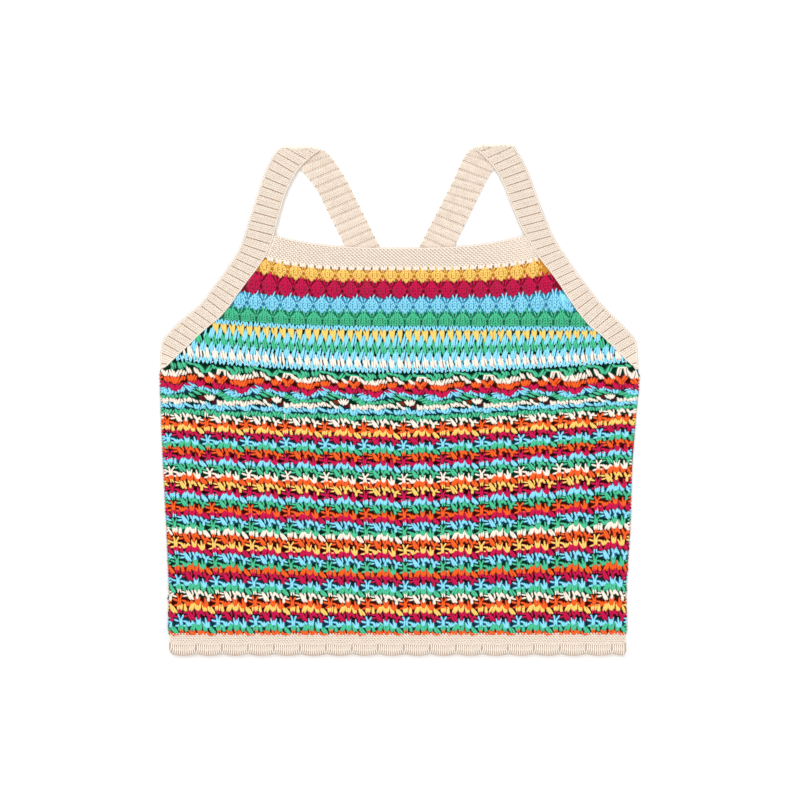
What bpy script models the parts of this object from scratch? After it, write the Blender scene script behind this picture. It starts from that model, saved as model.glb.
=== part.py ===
# A knit vest laid flat with its front up: a striped front panel with a bobble yoke, open mesh rows,
# chevrons with eyelets and lace stripes, a plain back panel under it, a neckband, a back band, two
# rib bands that border the armholes and go on as crossed shoulder straps, and a scalloped hem.
# X runs to the garment's right in view, Y towards its neck, Z up from the surface it lies on.

import bisect
import math
from collections import namedtuple

import bmesh
import bpy

# Every size below is in millimetres, and the meshes are made in metres.
MM = 0.001

# The layers, from the surface up
WALL = 2.3
SEAM = 0.3
FRONT_FLOOR = WALL + SEAM
BAND_TOP = FRONT_FLOOR + WALL
FRONT_WALL = 1.7
EDGE_WALL = 1.0
EDGE_ROUND = 5.0
EDGE_INSET = 1.2

# The straight-down gap to a rib band, which is about 0.3 mm square to its slanting edge
BAND_GAP = 0.55

# The middle line of the front, and the shift that centres the whole garment on the origin
MIDDLE_X = 0.4
SHIFT_X = 0.1
SHIFT_Y = -1.62

# The front's courses of knitting. A level is a count of stripes from the neckband down. Each row
# gives the course's height in the middle and at its two ends, and how sharply it turns up there.
Course = namedtuple("Course", "level y_mid x_left y_left x_right y_right bend")
ON_BAND = None
COURSES = (
    Course(0.0, 112.7, ON_BAND, 121.4, ON_BAND, 120.7, 3.6),
    Course(1.0, 101.3, ON_BAND, 110.1, ON_BAND, 107.2, 3.6),
    Course(2.0, 87.8, ON_BAND, 92.8, ON_BAND, 93.7, 3.6),
    Course(3.0, 75.1, ON_BAND, 79.8, ON_BAND, 76.4, 3.2),
    Course(4.0, 63.3, ON_BAND, 69.2, ON_BAND, 62.3, 2.6),
    Course(5.0, 59.8, ON_BAND, 65.8, ON_BAND, 59.4, 2.4),
    Course(6.0, 54.0, ON_BAND, 61.4, ON_BAND, 56.1, 2.2),
    Course(7.0, 46.4, ON_BAND, 55.3, ON_BAND, 51.1, 2.0),
    Course(8.0, 40.5, ON_BAND, 50.4, ON_BAND, 46.4, 1.9),
    Course(9.0, 35.3, ON_BAND, 45.8, ON_BAND, 41.8, 1.8),
    Course(10.0, 27.9, ON_BAND, 38.9, ON_BAND, 35.6, 1.7),
    Course(11.0, 23.6, ON_BAND, 34.4, ON_BAND, 32.6, 1.6),
    Course(12.0, 20.3, ON_BAND, 30.0, ON_BAND, 29.9, 1.5),
    Course(13.0, 16.6, -201.9, 25.2, 201.7, 22.4, 1.4),
    Course(15.0, 6.8, -201.6, 13.5, 201.3, 11.8, 1.3),
    Course(17.0, -2.1, -201.3, 4.2, 200.3, 4.6, 1.3),
    Course(20.0, -16.5, -200.9, -10.5, 199.6, -5.9, 1.3),
    Course(30.0, -63.7, -198.8, -57.0, 195.8, -49.0, 1.3),
    Course(40.0, -113.5, -196.2, -105.9, 194.5, -101.3, 1.3),
    Course(50.0, -164.2, -194.1, -159.5, 190.7, -159.9, 1.3),
    Course(56.4, -196.7, -194.9, -196.7, 191.6, -196.2, 1.3),
)
LEVELS = tuple(course.level for course in COURSES)
YOKE_END = 4.0
MESH_END = 11.0
ARMPIT = 12.0
CHEVRON_END = 20.0
LACE_END = COURSES[-1].level

# The four rows of bobbles, from the neckband down: the middle of the first and last, and how many
BobbleRow = namedtuple("BobbleRow", "first_x last_x count")
BOBBLE_ROWS = (
    BobbleRow(-114.1, 112.3, 18),
    BobbleRow(-123.6, 123.1, 19),
    BobbleRow(-135.6, 144.6, 21),
    BobbleRow(-141.7, 150.7, 22),
)
BOBBLE_HEIGHT = 3.2
BOBBLE_STEPS = 4
BOBBLE_MARGIN = 1.5
FLAT_BOTTOM_ROW = 3
FLAT_BOTTOM_DOWN = 0.9
FLAT_BOTTOM_SHAPE = 0.2
RIDGE_HEIGHT = 0.6
STAR_HEIGHT = 0.9
MESH_PITCH = 14.2
MESH_MARGIN = 4.0

# Chevrons: the points of the V's, how deep they dip by level, and the eyelets between them
CHEVRON_PITCH = 56.3
CHEVRON_FIRST = -189.5
CHEVRON_COUNT = 8
ChevronDip = namedtuple("ChevronDip", "level depth")
CHEVRON_DIPS = (
    ChevronDip(11.0, 0.0),
    ChevronDip(13.0, 3.4),
    ChevronDip(15.0, 4.4),
    ChevronDip(16.0, 3.2),
    ChevronDip(17.0, 1.2),
    ChevronDip(20.0, 0.0),
)
CHEVRON_COLUMNS = (0.0, 0.2, 0.8)
CHEVRON_LEVELS = (11.0, 11.5, 12.0, 12.5, 13.0, 13.5, 14.0, 14.5, 15.0, 15.5, 16.0,
                  16.65, 17.25, 17.6, 18.0, 18.5, 19.0, 19.5)
EYELET_LEVELS = (16.65, 17.25)
EYELET_OFFSET = 5.4
EYELET_WIDTH = 4.9
EYELET_SLANT = 1.0

# Lace stripes: the columns of stars near their top and at the hem line, and how wide a star is
StarColumns = namedtuple("StarColumns", "level first pitch")
STARS_HIGH = StarColumns(28.0, -193.9, 32.88)
STARS_LOW = StarColumns(55.0, -184.6, 31.62)
STAR_REACH = 0.2

# Points closer together across than this are joined straight down to each other
JOIN_NEAR = 1.0

# The shoulder and armhole band: cross lines from its outer to its inner edge, from the armpit up
Cross = namedtuple("Cross", "outer_x outer_y inner_x inner_y")
LEFT_FRONT = (
    Cross(-201.6, 27.9, -197.9, 29.1),
    Cross(-201.3, 39.2, -191.2, 35.2),
    Cross(-200.2, 50.2, -184.4, 41.4),
    Cross(-193.7, 58.7, -176.8, 48.5),
    Cross(-185.3, 67.1, -169.2, 56.1),
    Cross(-176.4, 74.7, -160.4, 63.7),
    Cross(-166.3, 83.6, -150.8, 71.7),
    Cross(-158.7, 94.1, -141.8, 82.3),
    Cross(-150.7, 104.2, -133.4, 94.5),
    Cross(-142.6, 116.0, -124.1, 106.8),
    Cross(-135.5, 127.9, -114.8, 119.4),
    Cross(-130.8, 139.7, -108.0, 133.4),
    Cross(-126.8, 153.2, -104.0, 147.3),
    Cross(-122.8, 165.0, -101.0, 158.7),
    Cross(-119.0, 176.8, -97.9, 169.6),
    Cross(-114.8, 189.5, -93.7, 180.6),
    Cross(-109.7, 201.3, -89.0, 189.9),
    Cross(-104.7, 210.2, -83.1, 198.3),
)
LEFT_FOLD = Cross(-98.8, 214.1, -66.3, 214.1)
LEFT_BACK = (
    Cross(-83.8, 196.4, -57.8, 206.4),
    Cross(-70.1, 179.4, -46.0, 189.1),
    Cross(-58.7, 156.6, -34.6, 166.7),
    Cross(-46.0, 131.8, -22.4, 142.2),
    Cross(-32.9, 108.5, -9.7, 117.3),
    Cross(-19.8, 84.8, 3.4, 93.3),
    Cross(-6.8, 61.2, 16.5, 69.2),
    Cross(5.5, 39.1, 29.5, 39.1),
)
RIGHT_FRONT = (
    Cross(200.8, 28.3, 198.0, 29.6),
    Cross(200.3, 40.1, 191.6, 35.0),
    Cross(199.3, 51.1, 184.0, 42.2),
    Cross(192.4, 59.9, 176.0, 50.2),
    Cross(183.6, 68.8, 168.4, 57.4),
    Cross(174.7, 77.6, 159.9, 64.1),
    Cross(166.3, 86.9, 151.1, 74.7),
    Cross(158.7, 97.1, 142.6, 86.9),
    Cross(151.1, 106.8, 134.6, 99.2),
    Cross(143.1, 118.2, 126.6, 110.1),
    Cross(135.5, 129.6, 116.9, 122.4),
    Cross(128.7, 141.4, 108.5, 136.3),
    Cross(123.6, 153.2, 102.1, 147.7),
    Cross(119.0, 165.0, 97.1, 159.1),
    Cross(114.8, 176.4, 92.8, 170.1),
    Cross(110.6, 188.2, 88.6, 181.0),
    Cross(105.9, 199.6, 83.6, 191.2),
    Cross(100.4, 209.7, 77.6, 199.6),
)
RIGHT_FOLD = Cross(96.6, 215.4, 62.9, 215.4)
RIGHT_BACK = (
    Cross(79.8, 197.1, 54.9, 206.8),
    Cross(69.6, 179.3, 45.2, 186.1),
    Cross(58.2, 155.7, 34.2, 164.6),
    Cross(46.4, 132.1, 22.8, 142.6),
    Cross(35.0, 109.3, 11.4, 119.4),
    Cross(23.2, 85.7, -0.4, 95.4),
    Cross(11.4, 62.0, -12.2, 71.3),
    Cross(-2.1, 39.1, -26.2, 39.1),
)
RIB_PITCH = 7.34
RIB_HALF_GROOVE = 1.2
RIB_DEPTH = 0.8
RIB_ACROSS = (0.0, 0.1, 0.88, 1.0)
FOLD_STEPS = 6
BACK_STEP = 4.0

# Behind the front the two straps cross, the left one under, both pressed thin
CROSSING_Y = 70.9
CROSSING_FLAT = 27.0
CROSSING_RAMP = 10.0
CROSSING_WALL = 1.0

# The neckband, between the two bands and above the front
NECK_TOP_MID = 129.6
NECK_TOP_SIDE = 140.3
NECK_TOP_BEND = 2.8
NECK_COLUMNS = 16

# The band along the back's top edge
BACK_BAND_TOP_MID = 38.4
BACK_BAND_TOP_SIDE = 49.4
BACK_BAND_LOW_MID = 16.5
BACK_BAND_LOW_SIDE = 27.4
BACK_BAND_TOP_X = 200.2
BACK_BAND_LOW_X = 201.5
BACK_BAND_COLUMNS = 12

# The hem, with its garter rows above and fluted shells below
SCALLOP_PITCH = 21.94
SCALLOP_FIRST = -193.0
FLUTES_PER_SCALLOP = 6
HEM_LEFT = -194.6
HEM_RIGHT = 191.4
HEM_FLUTE_TOP = -204.7
HEM_CUSP = -212.8
HEM_LOBE = -214.6
SCALLOP_ROUNDNESS = 0.7
FLUTE_HEIGHT = 0.5
HEM_MARGIN = 1.0

CURVE_STEPS = 6
SHARP_ANGLE = math.radians(40.0)
CREAM = (0.86, 0.76, 0.65)
GREEN = (0.10, 0.50, 0.28)
TEAL = (0.12, 0.42, 0.40)
ROUGHNESS = 0.9


def lerp(start, end, share):
    return start + (end - start) * share


def ramp(value):
    """Smoothly from 0 to 1."""
    value = min(max(value, 0.0), 1.0)
    return value * value * (3.0 - 2.0 * value)


def curve_point(before, start, end, after, share):
    """A point on the smooth curve between start and end (Catmull-Rom)."""
    point = []
    for a, b, c, d in zip(before, start, end, after):
        slope_in = (c - a) / 2.0
        slope_out = (d - b) / 2.0
        rest = 1.0 - share
        point.append(b * (1.0 + 2.0 * share) * rest * rest + c * (3.0 - 2.0 * share) * share * share
                     + slope_in * share * rest * rest - slope_out * rest * share * share)
    return point


def smooth_crosses(crosses):
    """Cross lines along a band, close together, each with its distance along the middle."""
    dense = []
    last = len(crosses) - 1
    for index in range(last):
        before = crosses[max(index - 1, 0)]
        after = crosses[min(index + 2, last)]
        for step in range(CURVE_STEPS):
            share = step / CURVE_STEPS
            dense.append(curve_point(before, crosses[index], crosses[index + 1], after, share))
    dense.append(list(crosses[last]))
    lengths = [0.0]
    for start, end in zip(dense, dense[1:]):
        run_x = (end[0] + end[2] - start[0] - start[2]) / 2.0
        run_y = (end[1] + end[3] - start[1] - start[3]) / 2.0
        lengths.append(lengths[-1] + math.hypot(run_x, run_y))
    return lengths, dense


def cross_at(lengths, dense, distance):
    """The cross line at a distance along the band."""
    index = min(max(bisect.bisect_right(lengths, distance) - 1, 0), len(dense) - 2)
    share = (distance - lengths[index]) / (lengths[index + 1] - lengths[index])
    return Cross(*(lerp(start, end, share) for start, end in zip(dense[index], dense[index + 1])))


def inner_edge_x(crosses, y):
    """How far across a band's inner edge is at a height."""
    dense = smooth_crosses(crosses)[1]
    for start, end in zip(dense, dense[1:]):
        if start[3] <= y <= end[3]:
            return lerp(start[2], end[2], (y - start[3]) / (end[3] - start[3]))
    return dense[0][2] if y < dense[0][3] else dense[-1][2]


def course_end(course, side):
    """The end point of a course, on its band or at the garment's side."""
    y = course.y_left if side < 0 else course.y_right
    x = course.x_left if side < 0 else course.x_right
    if x is ON_BAND:
        x = inner_edge_x(LEFT_FRONT if side < 0 else RIGHT_FRONT, y) - side * BAND_GAP
    return x, y


COURSE_ENDS = [(course_end(course, -1), course_end(course, 1)) for course in COURSES]


def line_shape(level):
    """The two end points, the middle height and the bend of the front's line at a level."""
    index = min(max(bisect.bisect_right(LEVELS, level) - 1, 0), len(LEVELS) - 2)
    above = COURSES[index]
    below = COURSES[index + 1]
    share = (level - above.level) / (below.level - above.level)
    ends = []
    for side in (0, 1):
        start = COURSE_ENDS[index][side]
        end = COURSE_ENDS[index + 1][side]
        y = lerp(start[1], end[1], share)
        x = lerp(start[0], end[0], share)
        if below.level <= ARMPIT:
            crosses = (LEFT_FRONT, RIGHT_FRONT)[side]
            x = inner_edge_x(crosses, y) + (BAND_GAP, -BAND_GAP)[side]
        ends.append((x, y))
    return ends[0], ends[1], lerp(above.y_mid, below.y_mid, share), lerp(above.bend, below.bend, share)


def chevron_dip(level, x):
    """How far the chevrons pull a course down at x."""
    for start, end in zip(CHEVRON_DIPS, CHEVRON_DIPS[1:]):
        if start.level <= level <= end.level:
            depth = lerp(start.depth, end.depth, (level - start.level) / (end.level - start.level))
            turn = ((x - CHEVRON_FIRST) / CHEVRON_PITCH) % 1.0
            away = min(turn, 1.0 - turn) * 2.0
            return depth * (1.0 - away) ** 2
    return 0.0


def line_y(shape, x):
    """The height of a line at x."""
    left, right, y_mid, bend = shape
    end = left if x < MIDDLE_X else right
    share = min(abs((x - MIDDLE_X) / (end[0] - MIDDLE_X)), 1.0)
    return y_mid + (end[1] - y_mid) * share ** bend


def lattice(first, pitch, left, right, margin):
    """Evenly spaced places between two ends, kept a margin away from them."""
    start = math.ceil((left + margin - first) / pitch)
    stop = math.floor((right - margin - first) / pitch)
    return [first + index * pitch for index in range(start, stop + 1)]


def eyelet_mids():
    """The places midway between two V's, where a pair of eyelets lies."""
    return [CHEVRON_FIRST + (index + 0.5) * CHEVRON_PITCH for index in range(-1, CHEVRON_COUNT)]


def eyelet_sides(left, right):
    """The two sides and the slant of each eyelet inside the panel."""
    sides = []
    for middle in eyelet_mids():
        for hand in (-1, 1):
            centre = middle + hand * EYELET_OFFSET
            low = centre - EYELET_WIDTH / 2.0
            high = centre + EYELET_WIDTH / 2.0
            if low > left + EDGE_ROUND and high < right - EDGE_ROUND:
                sides.append((low, high, -hand))
    return sides


def chevron_columns(left, right):
    """The columns of the chevron rows: three a V, and the two sides of each eyelet."""
    places = []
    for share in CHEVRON_COLUMNS:
        first = CHEVRON_FIRST + share * CHEVRON_PITCH
        places += lattice(first, CHEVRON_PITCH, left, right, EDGE_ROUND + JOIN_NEAR)
    for low, high, _ in eyelet_sides(left, right):
        places += [low, high]
    places += [middle for middle in eyelet_mids() if left + EDGE_ROUND < middle < right - EDGE_ROUND]
    return sorted(places)


def star_columns(level):
    """The first star column's place and the pitch of the columns at a level."""
    share = (level - STARS_HIGH.level) / (STARS_LOW.level - STARS_HIGH.level)
    return lerp(STARS_HIGH.first, STARS_LOW.first, share), lerp(STARS_HIGH.pitch, STARS_LOW.pitch, share)


def bobble_pitch(row):
    return (row.last_x - row.first_x) / (row.count - 1)


def columns_at(level, left, right):
    """The places across where a line of the front has points, from its left to its right end."""
    if level <= YOKE_END:
        row = BOBBLE_ROWS[min(int(level), len(BOBBLE_ROWS) - 1)]
        places = lattice(row.first_x, bobble_pitch(row) / BOBBLE_STEPS, left, right, BOBBLE_MARGIN)
    elif level < MESH_END:
        places = lattice(0.0, MESH_PITCH, left, right, MESH_MARGIN)
    elif level < CHEVRON_END:
        places = chevron_columns(left, right)
    else:
        first, pitch = star_columns(level)
        places = lattice(first, pitch / 2.0, left, right, EDGE_ROUND + 2.0 * JOIN_NEAR)
    if level > ARMPIT:
        rounding = (EDGE_INSET, EDGE_ROUND)
        places = [left + inset for inset in rounding] + places + [right - inset for inset in rounding[::-1]]
    return [left] + places + [right]


def bobble_relief(level, x):
    """How far a row of bobbles stands out."""
    index = min(int(level), len(BOBBLE_ROWS) - 1)
    row = BOBBLE_ROWS[index]
    pitch = bobble_pitch(row)
    nearest = row.first_x + round((x - row.first_x) / pitch) * pitch
    across = (x - nearest) / (pitch / 2.0)
    down = (level - index - 0.5) * 2.0
    if index == FLAT_BOTTOM_ROW and 0.0 < down < FLAT_BOTTOM_DOWN:
        down = FLAT_BOTTOM_SHAPE
    outside = across * across + down * down
    return BOBBLE_HEIGHT * math.sqrt(max(0.0, 1.0 - outside))


def lace_relief(level, x):
    """How far the lace stripes stand out: V rows, star rows and arch rows in turn."""
    crest = 1.0 - abs((level % 1.0) - 0.5) * 2.0
    kind = int(level - CHEVRON_END) % 3
    first, pitch = star_columns(level)
    on_star = abs(((x - first) / pitch + 0.5) % 1.0 - 0.5) < STAR_REACH
    high = on_star if kind == 1 else not on_star
    return crest * (STAR_HEIGHT if high else RIDGE_HEIGHT)


def front_relief(level, x):
    """How far the front's outer side stands out of its plain wall."""
    if level <= YOKE_END:
        return bobble_relief(level, x)
    if level < CHEVRON_END:
        return RIDGE_HEIGHT * (1.0 - abs((level % 1.0) - 0.5) * 2.0)
    return lace_relief(level, x)


def front_top(level, x, left, right):
    """The height of the front's outer side, rounded down where the garment turns to the back."""
    height = FRONT_WALL + front_relief(level, x)
    if level > ARMPIT:
        inset = min(x - left, right - x, EDGE_ROUND) / EDGE_ROUND
        share = math.sqrt(max(0.0, 1.0 - (1.0 - inset) ** 2))
        height = lerp(EDGE_WALL, height, share)
    return FRONT_FLOOR + height


def eyelet_shift(level, x, sides):
    """The sideways slant of an eyelet's edges."""
    if level not in EYELET_LEVELS:
        return 0.0
    for low, high, slant in sides:
        if low - 0.01 <= x <= high + 0.01:
            return EYELET_SLANT * slant * (1.0 if level == EYELET_LEVELS[0] else -1.0)
    return 0.0


def front_line(level):
    """One line of the front: the place across, then x, y and the outer side's z of each point."""
    shape = line_shape(level)
    left = shape[0][0]
    right = shape[1][0]
    sides = eyelet_sides(left, right)
    points = []
    for place in columns_at(level, left, right):
        y = line_y(shape, place) - chevron_dip(level, place)
        x = place - eyelet_shift(level, place, sides)
        points.append((place, x, y, front_top(level, place, left, right)))
    return points


def front_levels():
    levels = [step / BOBBLE_STEPS for step in range(int(YOKE_END) * BOBBLE_STEPS)]
    levels += [YOKE_END + step / 2.0 for step in range(int((MESH_END - YOKE_END) * 2))]
    levels += CHEVRON_LEVELS
    levels += [CHEVRON_END + step / 2.0 for step in range(int((LACE_END - CHEVRON_END) * 2) + 1)]
    return levels + [LACE_END]


def is_eyelet(upper_level, low, high):
    """Whether the cell below a line, between two columns, is an eyelet."""
    if upper_level != EYELET_LEVELS[0]:
        return False
    for middle in eyelet_mids():
        if abs(abs((low + high) / 2.0 - middle) - EYELET_OFFSET) < 0.01 and high - low < EYELET_WIDTH + 0.01:
            return True
    return False


def new_collection(name):
    collection = bpy.data.collections.new(name)
    bpy.context.scene.collection.children.link(collection)
    return collection


def cloth_material(name, color):
    material = bpy.data.materials.new(name)
    material.use_nodes = True
    shader = material.node_tree.nodes["Principled BSDF"]
    shader.inputs["Base Color"].default_value = (*color, 1.0)
    shader.inputs["Roughness"].default_value = ROUGHNESS
    shader.inputs["Metallic"].default_value = 0.0
    return material


def add_object(bm, name, color, collection):
    """Make an object of a closed mesh, with its faces pointing out."""
    bmesh.ops.recalc_face_normals(bm, faces=bm.faces)
    mesh = bpy.data.meshes.new(name)
    bm.to_mesh(mesh)
    bm.free()
    mesh.shade_smooth()
    mesh.set_sharp_from_angle(angle=SHARP_ANGLE)
    obj = bpy.data.objects.new(name, mesh)
    mesh.materials.append(cloth_material(name, color))
    collection.objects.link(obj)
    return obj


def metres(x, y, z):
    return ((x + SHIFT_X) * MM, (y + SHIFT_Y) * MM, z * MM)


def join_lines(bm, upper, lower, is_hole):
    """Faces between two lines of points whose counts may differ: the next pair closest in place."""
    above = 0
    below = 0
    while above < len(upper) - 1 or below < len(lower) - 1:
        next_above = upper[above + 1][0] if above < len(upper) - 1 else math.inf
        next_below = lower[below + 1][0] if below < len(lower) - 1 else math.inf
        near = abs(next_above - next_below) < JOIN_NEAR
        last = above == len(upper) - 2 and below == len(lower) - 2
        corner_above = upper[above][1]
        corner_below = lower[below][1]
        if near or last:
            if not is_hole(upper[above][0], next_above):
                bm.faces.new((corner_above, corner_below, lower[below + 1][1], upper[above + 1][1]))
            above += 1
            below += 1
        elif next_above < next_below:
            bm.faces.new((corner_above, corner_below, upper[above + 1][1]))
            above += 1
        else:
            bm.faces.new((corner_above, corner_below, lower[below + 1][1]))
            below += 1


def raised_wall(name, lines, floor, color, collection, is_hole=lambda line, low, high: False):
    """A wall on a flat inside at floor height, whose outer side follows each point's own height."""
    bm = bmesh.new()
    top = bm.verts.layers.float.new("top")
    previous = None
    for index, line in enumerate(lines):
        current = []
        for place, x, y, z in line:
            vert = bm.verts.new(metres(x, y, floor))
            vert[top] = z * MM
            current.append((place, vert))
        if previous:
            join_lines(bm, previous, current, lambda low, high: is_hole(index - 1, low, high))
        previous = current
    wall = bmesh.ops.extrude_face_region(bm, geom=bm.faces[:])
    for item in wall["geom"]:
        if isinstance(item, bmesh.types.BMVert):
            item.co.z = item[top]
    for vert in [vert for vert in bm.verts if not vert.link_faces]:
        bm.verts.remove(vert)
    return add_object(bm, name, color, collection)


def make_front(collection):
    levels = front_levels()
    lines = [front_line(level) for level in levels]
    raised_wall("front_panel", lines, FRONT_FLOOR, GREEN, collection,
                lambda index, low, high: is_eyelet(levels[index], low, high))


def flat_slab(name, outline, low, high, color, collection):
    """A flat piece of cloth cut to an outline."""
    bm = bmesh.new()
    face = bm.faces.new([bm.verts.new(metres(x, y, low)) for x, y in outline])
    wall = bmesh.ops.extrude_face_region(bm, geom=[face])
    for item in wall["geom"]:
        if isinstance(item, bmesh.types.BMVert):
            item.co.z = high * MM
    return add_object(bm, name, color, collection)


def sag_line(left_x, right_x, y_mid, y_side, bend, columns):
    """Points along an edge that is lowest in the middle."""
    points = []
    for index in range(columns + 1):
        x = lerp(left_x, right_x, index / columns)
        end = left_x if x < MIDDLE_X else right_x
        share = abs((x - MIDDLE_X) / (end - MIDDLE_X))
        points.append((x, y_mid + (y_side - y_mid) * share ** bend))
    return points


def make_back(collection):
    """The back panel, under the front and level with its sides and hem line."""
    top = sag_line(-BACK_BAND_LOW_X, BACK_BAND_LOW_X, BACK_BAND_LOW_MID - SEAM, BACK_BAND_LOW_SIDE - SEAM,
                   2.0, BACK_BAND_COLUMNS)
    below = [course for course in COURSES if course.level > ARMPIT]
    right = [(course.x_right, course.y_right) for course in below]
    left = [(course.x_left, course.y_left) for course in below]
    flat_slab("back_panel", top + right + left[::-1], 0.0, WALL, TEAL, collection)


def make_back_band(collection):
    top = sag_line(-BACK_BAND_TOP_X, BACK_BAND_TOP_X, BACK_BAND_TOP_MID, BACK_BAND_TOP_SIDE,
                   2.0, BACK_BAND_COLUMNS)
    low = sag_line(-BACK_BAND_LOW_X, BACK_BAND_LOW_X, BACK_BAND_LOW_MID, BACK_BAND_LOW_SIDE,
                   2.0, BACK_BAND_COLUMNS)
    flat_slab("back_band", top + low[::-1], 0.0, WALL, CREAM, collection)


def make_neckband(collection):
    """The neckband, whose lower edge follows the front's top line."""
    low_shape = line_shape(0.0)
    left_x = inner_edge_x(LEFT_FRONT, NECK_TOP_SIDE) + BAND_GAP
    right_x = inner_edge_x(RIGHT_FRONT, NECK_TOP_SIDE) - BAND_GAP
    top = sag_line(left_x, right_x, NECK_TOP_MID, NECK_TOP_SIDE, NECK_TOP_BEND, NECK_COLUMNS)
    low = []
    for x in columns_at(0.0, low_shape[0][0], low_shape[1][0])[::-1]:
        low.append((x, line_y(low_shape, x) + SEAM))
    corner_y = (low[0][1] + NECK_TOP_SIDE) / 2.0
    right_mid = [(inner_edge_x(RIGHT_FRONT, corner_y) - BAND_GAP, corner_y)]
    left_mid = [(inner_edge_x(LEFT_FRONT, corner_y) + BAND_GAP, corner_y)]
    outline = top + right_mid + low + left_mid
    flat_slab("front_neckband", outline, FRONT_FLOOR, BAND_TOP, CREAM, collection)


def band_ring(cross, angle, middle_z, half_wall, groove, rise=0.0):
    """The points round a band at a cross line, with its outer side turned by an angle about X."""
    across = math.sin(angle)
    up = math.cos(angle)
    points = []
    for index, share in enumerate(RIB_ACROSS):
        out = half_wall - (groove if 0 < index < len(RIB_ACROSS) - 1 else 0.0)
        x = lerp(cross.outer_x, cross.inner_x, share)
        y = lerp(cross.outer_y, cross.inner_y, share) + rise
        points.append((x, y + across * out, middle_z + up * out))
    for share in (1.0, 0.0):
        x = lerp(cross.outer_x, cross.inner_x, share)
        y = lerp(cross.outer_y, cross.inner_y, share) + rise
        points.append((x, y - across * half_wall, middle_z - up * half_wall))
    return points


def front_leg_rings(crosses):
    """The ribbed leg of a band, from the armpit to just below the fold."""
    lengths, dense = smooth_crosses(crosses)
    total = lengths[-1]
    middle_z = FRONT_FLOOR + WALL / 2.0
    rings = [band_ring(crosses[0], 0.0, middle_z, WALL / 2.0, 0.0)]
    for index in range(int(total / RIB_PITCH)):
        groove_at = (index + 0.5) * RIB_PITCH
        for offset, depth in ((-RIB_HALF_GROOVE, 0.0), (0.0, RIB_DEPTH), (RIB_HALF_GROOVE, 0.0)):
            cross = cross_at(lengths, dense, groove_at + offset)
            rings.append(band_ring(cross, 0.0, middle_z, WALL / 2.0, depth))
    rings.append(band_ring(crosses[-1], 0.0, middle_z, WALL / 2.0, 0.0))
    return rings


def fold_rings(fold):
    """The turn over the shoulder line, where the front leg folds down onto the back leg."""
    low_z = WALL / 2.0
    high_z = FRONT_FLOOR + WALL / 2.0
    radius = (high_z - low_z) / 2.0
    rings = []
    for step in range(FOLD_STEPS + 1):
        angle = math.pi * step / FOLD_STEPS
        z = (high_z + low_z) / 2.0 + radius * math.cos(angle)
        rings.append(band_ring(fold, angle, z, WALL / 2.0, 0.0, rise=radius * math.sin(angle)))
    return rings


def back_leg_rings(crosses, passes_over):
    """The leg behind, flat on the surface, pressed thin where the two straps cross."""
    lengths, dense = smooth_crosses(crosses)
    count = math.ceil(lengths[-1] / BACK_STEP)

    def from_crossing(index):
        return abs((dense[index][1] + dense[index][3]) / 2.0 - CROSSING_Y)

    crossing_at = min(range(len(dense)), key=from_crossing)
    rings = []
    for step in range(count + 1):
        distance = lengths[-1] * step / count
        away = abs(distance - lengths[crossing_at]) - CROSSING_FLAT
        share = ramp(away / CROSSING_RAMP)
        low = (CROSSING_WALL + SEAM) * (1.0 - share) if passes_over else 0.0
        high = WALL if passes_over else lerp(CROSSING_WALL, WALL, share)
        cross = cross_at(lengths, dense, min(distance, lengths[-1] - 0.001))
        rings.append(band_ring(cross, math.pi, (low + high) / 2.0, (high - low) / 2.0, 0.0))
    return rings


def make_strap(name, front, fold, back, passes_over, collection):
    """One rib band: along the armhole, over the shoulder and down behind."""
    rings = front_leg_rings(front) + fold_rings(fold) + back_leg_rings(back, passes_over)
    bm = bmesh.new()
    loops = [[bm.verts.new(metres(*point)) for point in ring] for ring in rings]
    count = len(loops[0])
    for start, end in zip(loops, loops[1:]):
        for index in range(count):
            following = (index + 1) % count
            bm.faces.new((start[index], start[following], end[following], end[index]))
    bm.faces.new(loops[0])
    bm.faces.new(loops[-1])
    add_object(bm, name, CREAM, collection)


def scallop_y(x):
    """The hem's lower edge: shells that hang between cusps."""
    turn = ((x - SCALLOP_FIRST) / SCALLOP_PITCH) % 1.0
    return lerp(HEM_CUSP, HEM_LOBE, math.sin(math.pi * turn) ** SCALLOP_ROUNDNESS)


def hem_columns(pitch, margin):
    """The places across the hem, a pitch apart, with its two ends."""
    return [HEM_LEFT] + lattice(SCALLOP_FIRST, pitch, HEM_LEFT, HEM_RIGHT, margin) + [HEM_RIGHT]


def hem_line(y_at, columns, height_at):
    return [(x, x, y_at(x), FRONT_FLOOR + height_at(index)) for index, x in enumerate(columns)]


def make_front_hem(collection):
    """The hem: rows of garter stitch, then upright flutes down to the shells."""
    flute_step = SCALLOP_PITCH / FLUTES_PER_SCALLOP / 2.0
    coarse = hem_columns(SCALLOP_PITCH, MESH_MARGIN)
    fine = hem_columns(flute_step, HEM_MARGIN)
    top_shape = line_shape(LACE_END)

    def garter(share):
        return lambda x: lerp(line_y(top_shape, x) - SEAM, HEM_FLUTE_TOP, share)

    def edge_height(index, columns, height):
        return EDGE_WALL if index in (0, len(columns) - 1) else height

    def flute(index):
        crest = FLUTE_HEIGHT if index % 2 else 0.0
        return edge_height(index, fine, FRONT_WALL + crest)

    lines = []
    for share, height in ((0.0, FRONT_WALL), (0.25, BAND_TOP - FRONT_FLOOR), (0.5, FRONT_WALL),
                          (0.75, BAND_TOP - FRONT_FLOOR)):
        lines.append(hem_line(garter(share), coarse,
                              lambda index, high=height: edge_height(index, coarse, high)))
    lines.append(hem_line(garter(1.0), fine, lambda index: edge_height(index, fine, FRONT_WALL)))
    lines.append(hem_line(lambda x: (HEM_FLUTE_TOP + scallop_y(x)) / 2.0, fine, flute))
    lines.append(hem_line(scallop_y, fine, flute))
    raised_wall("hem_front", lines, FRONT_FLOOR, CREAM, collection)


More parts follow.
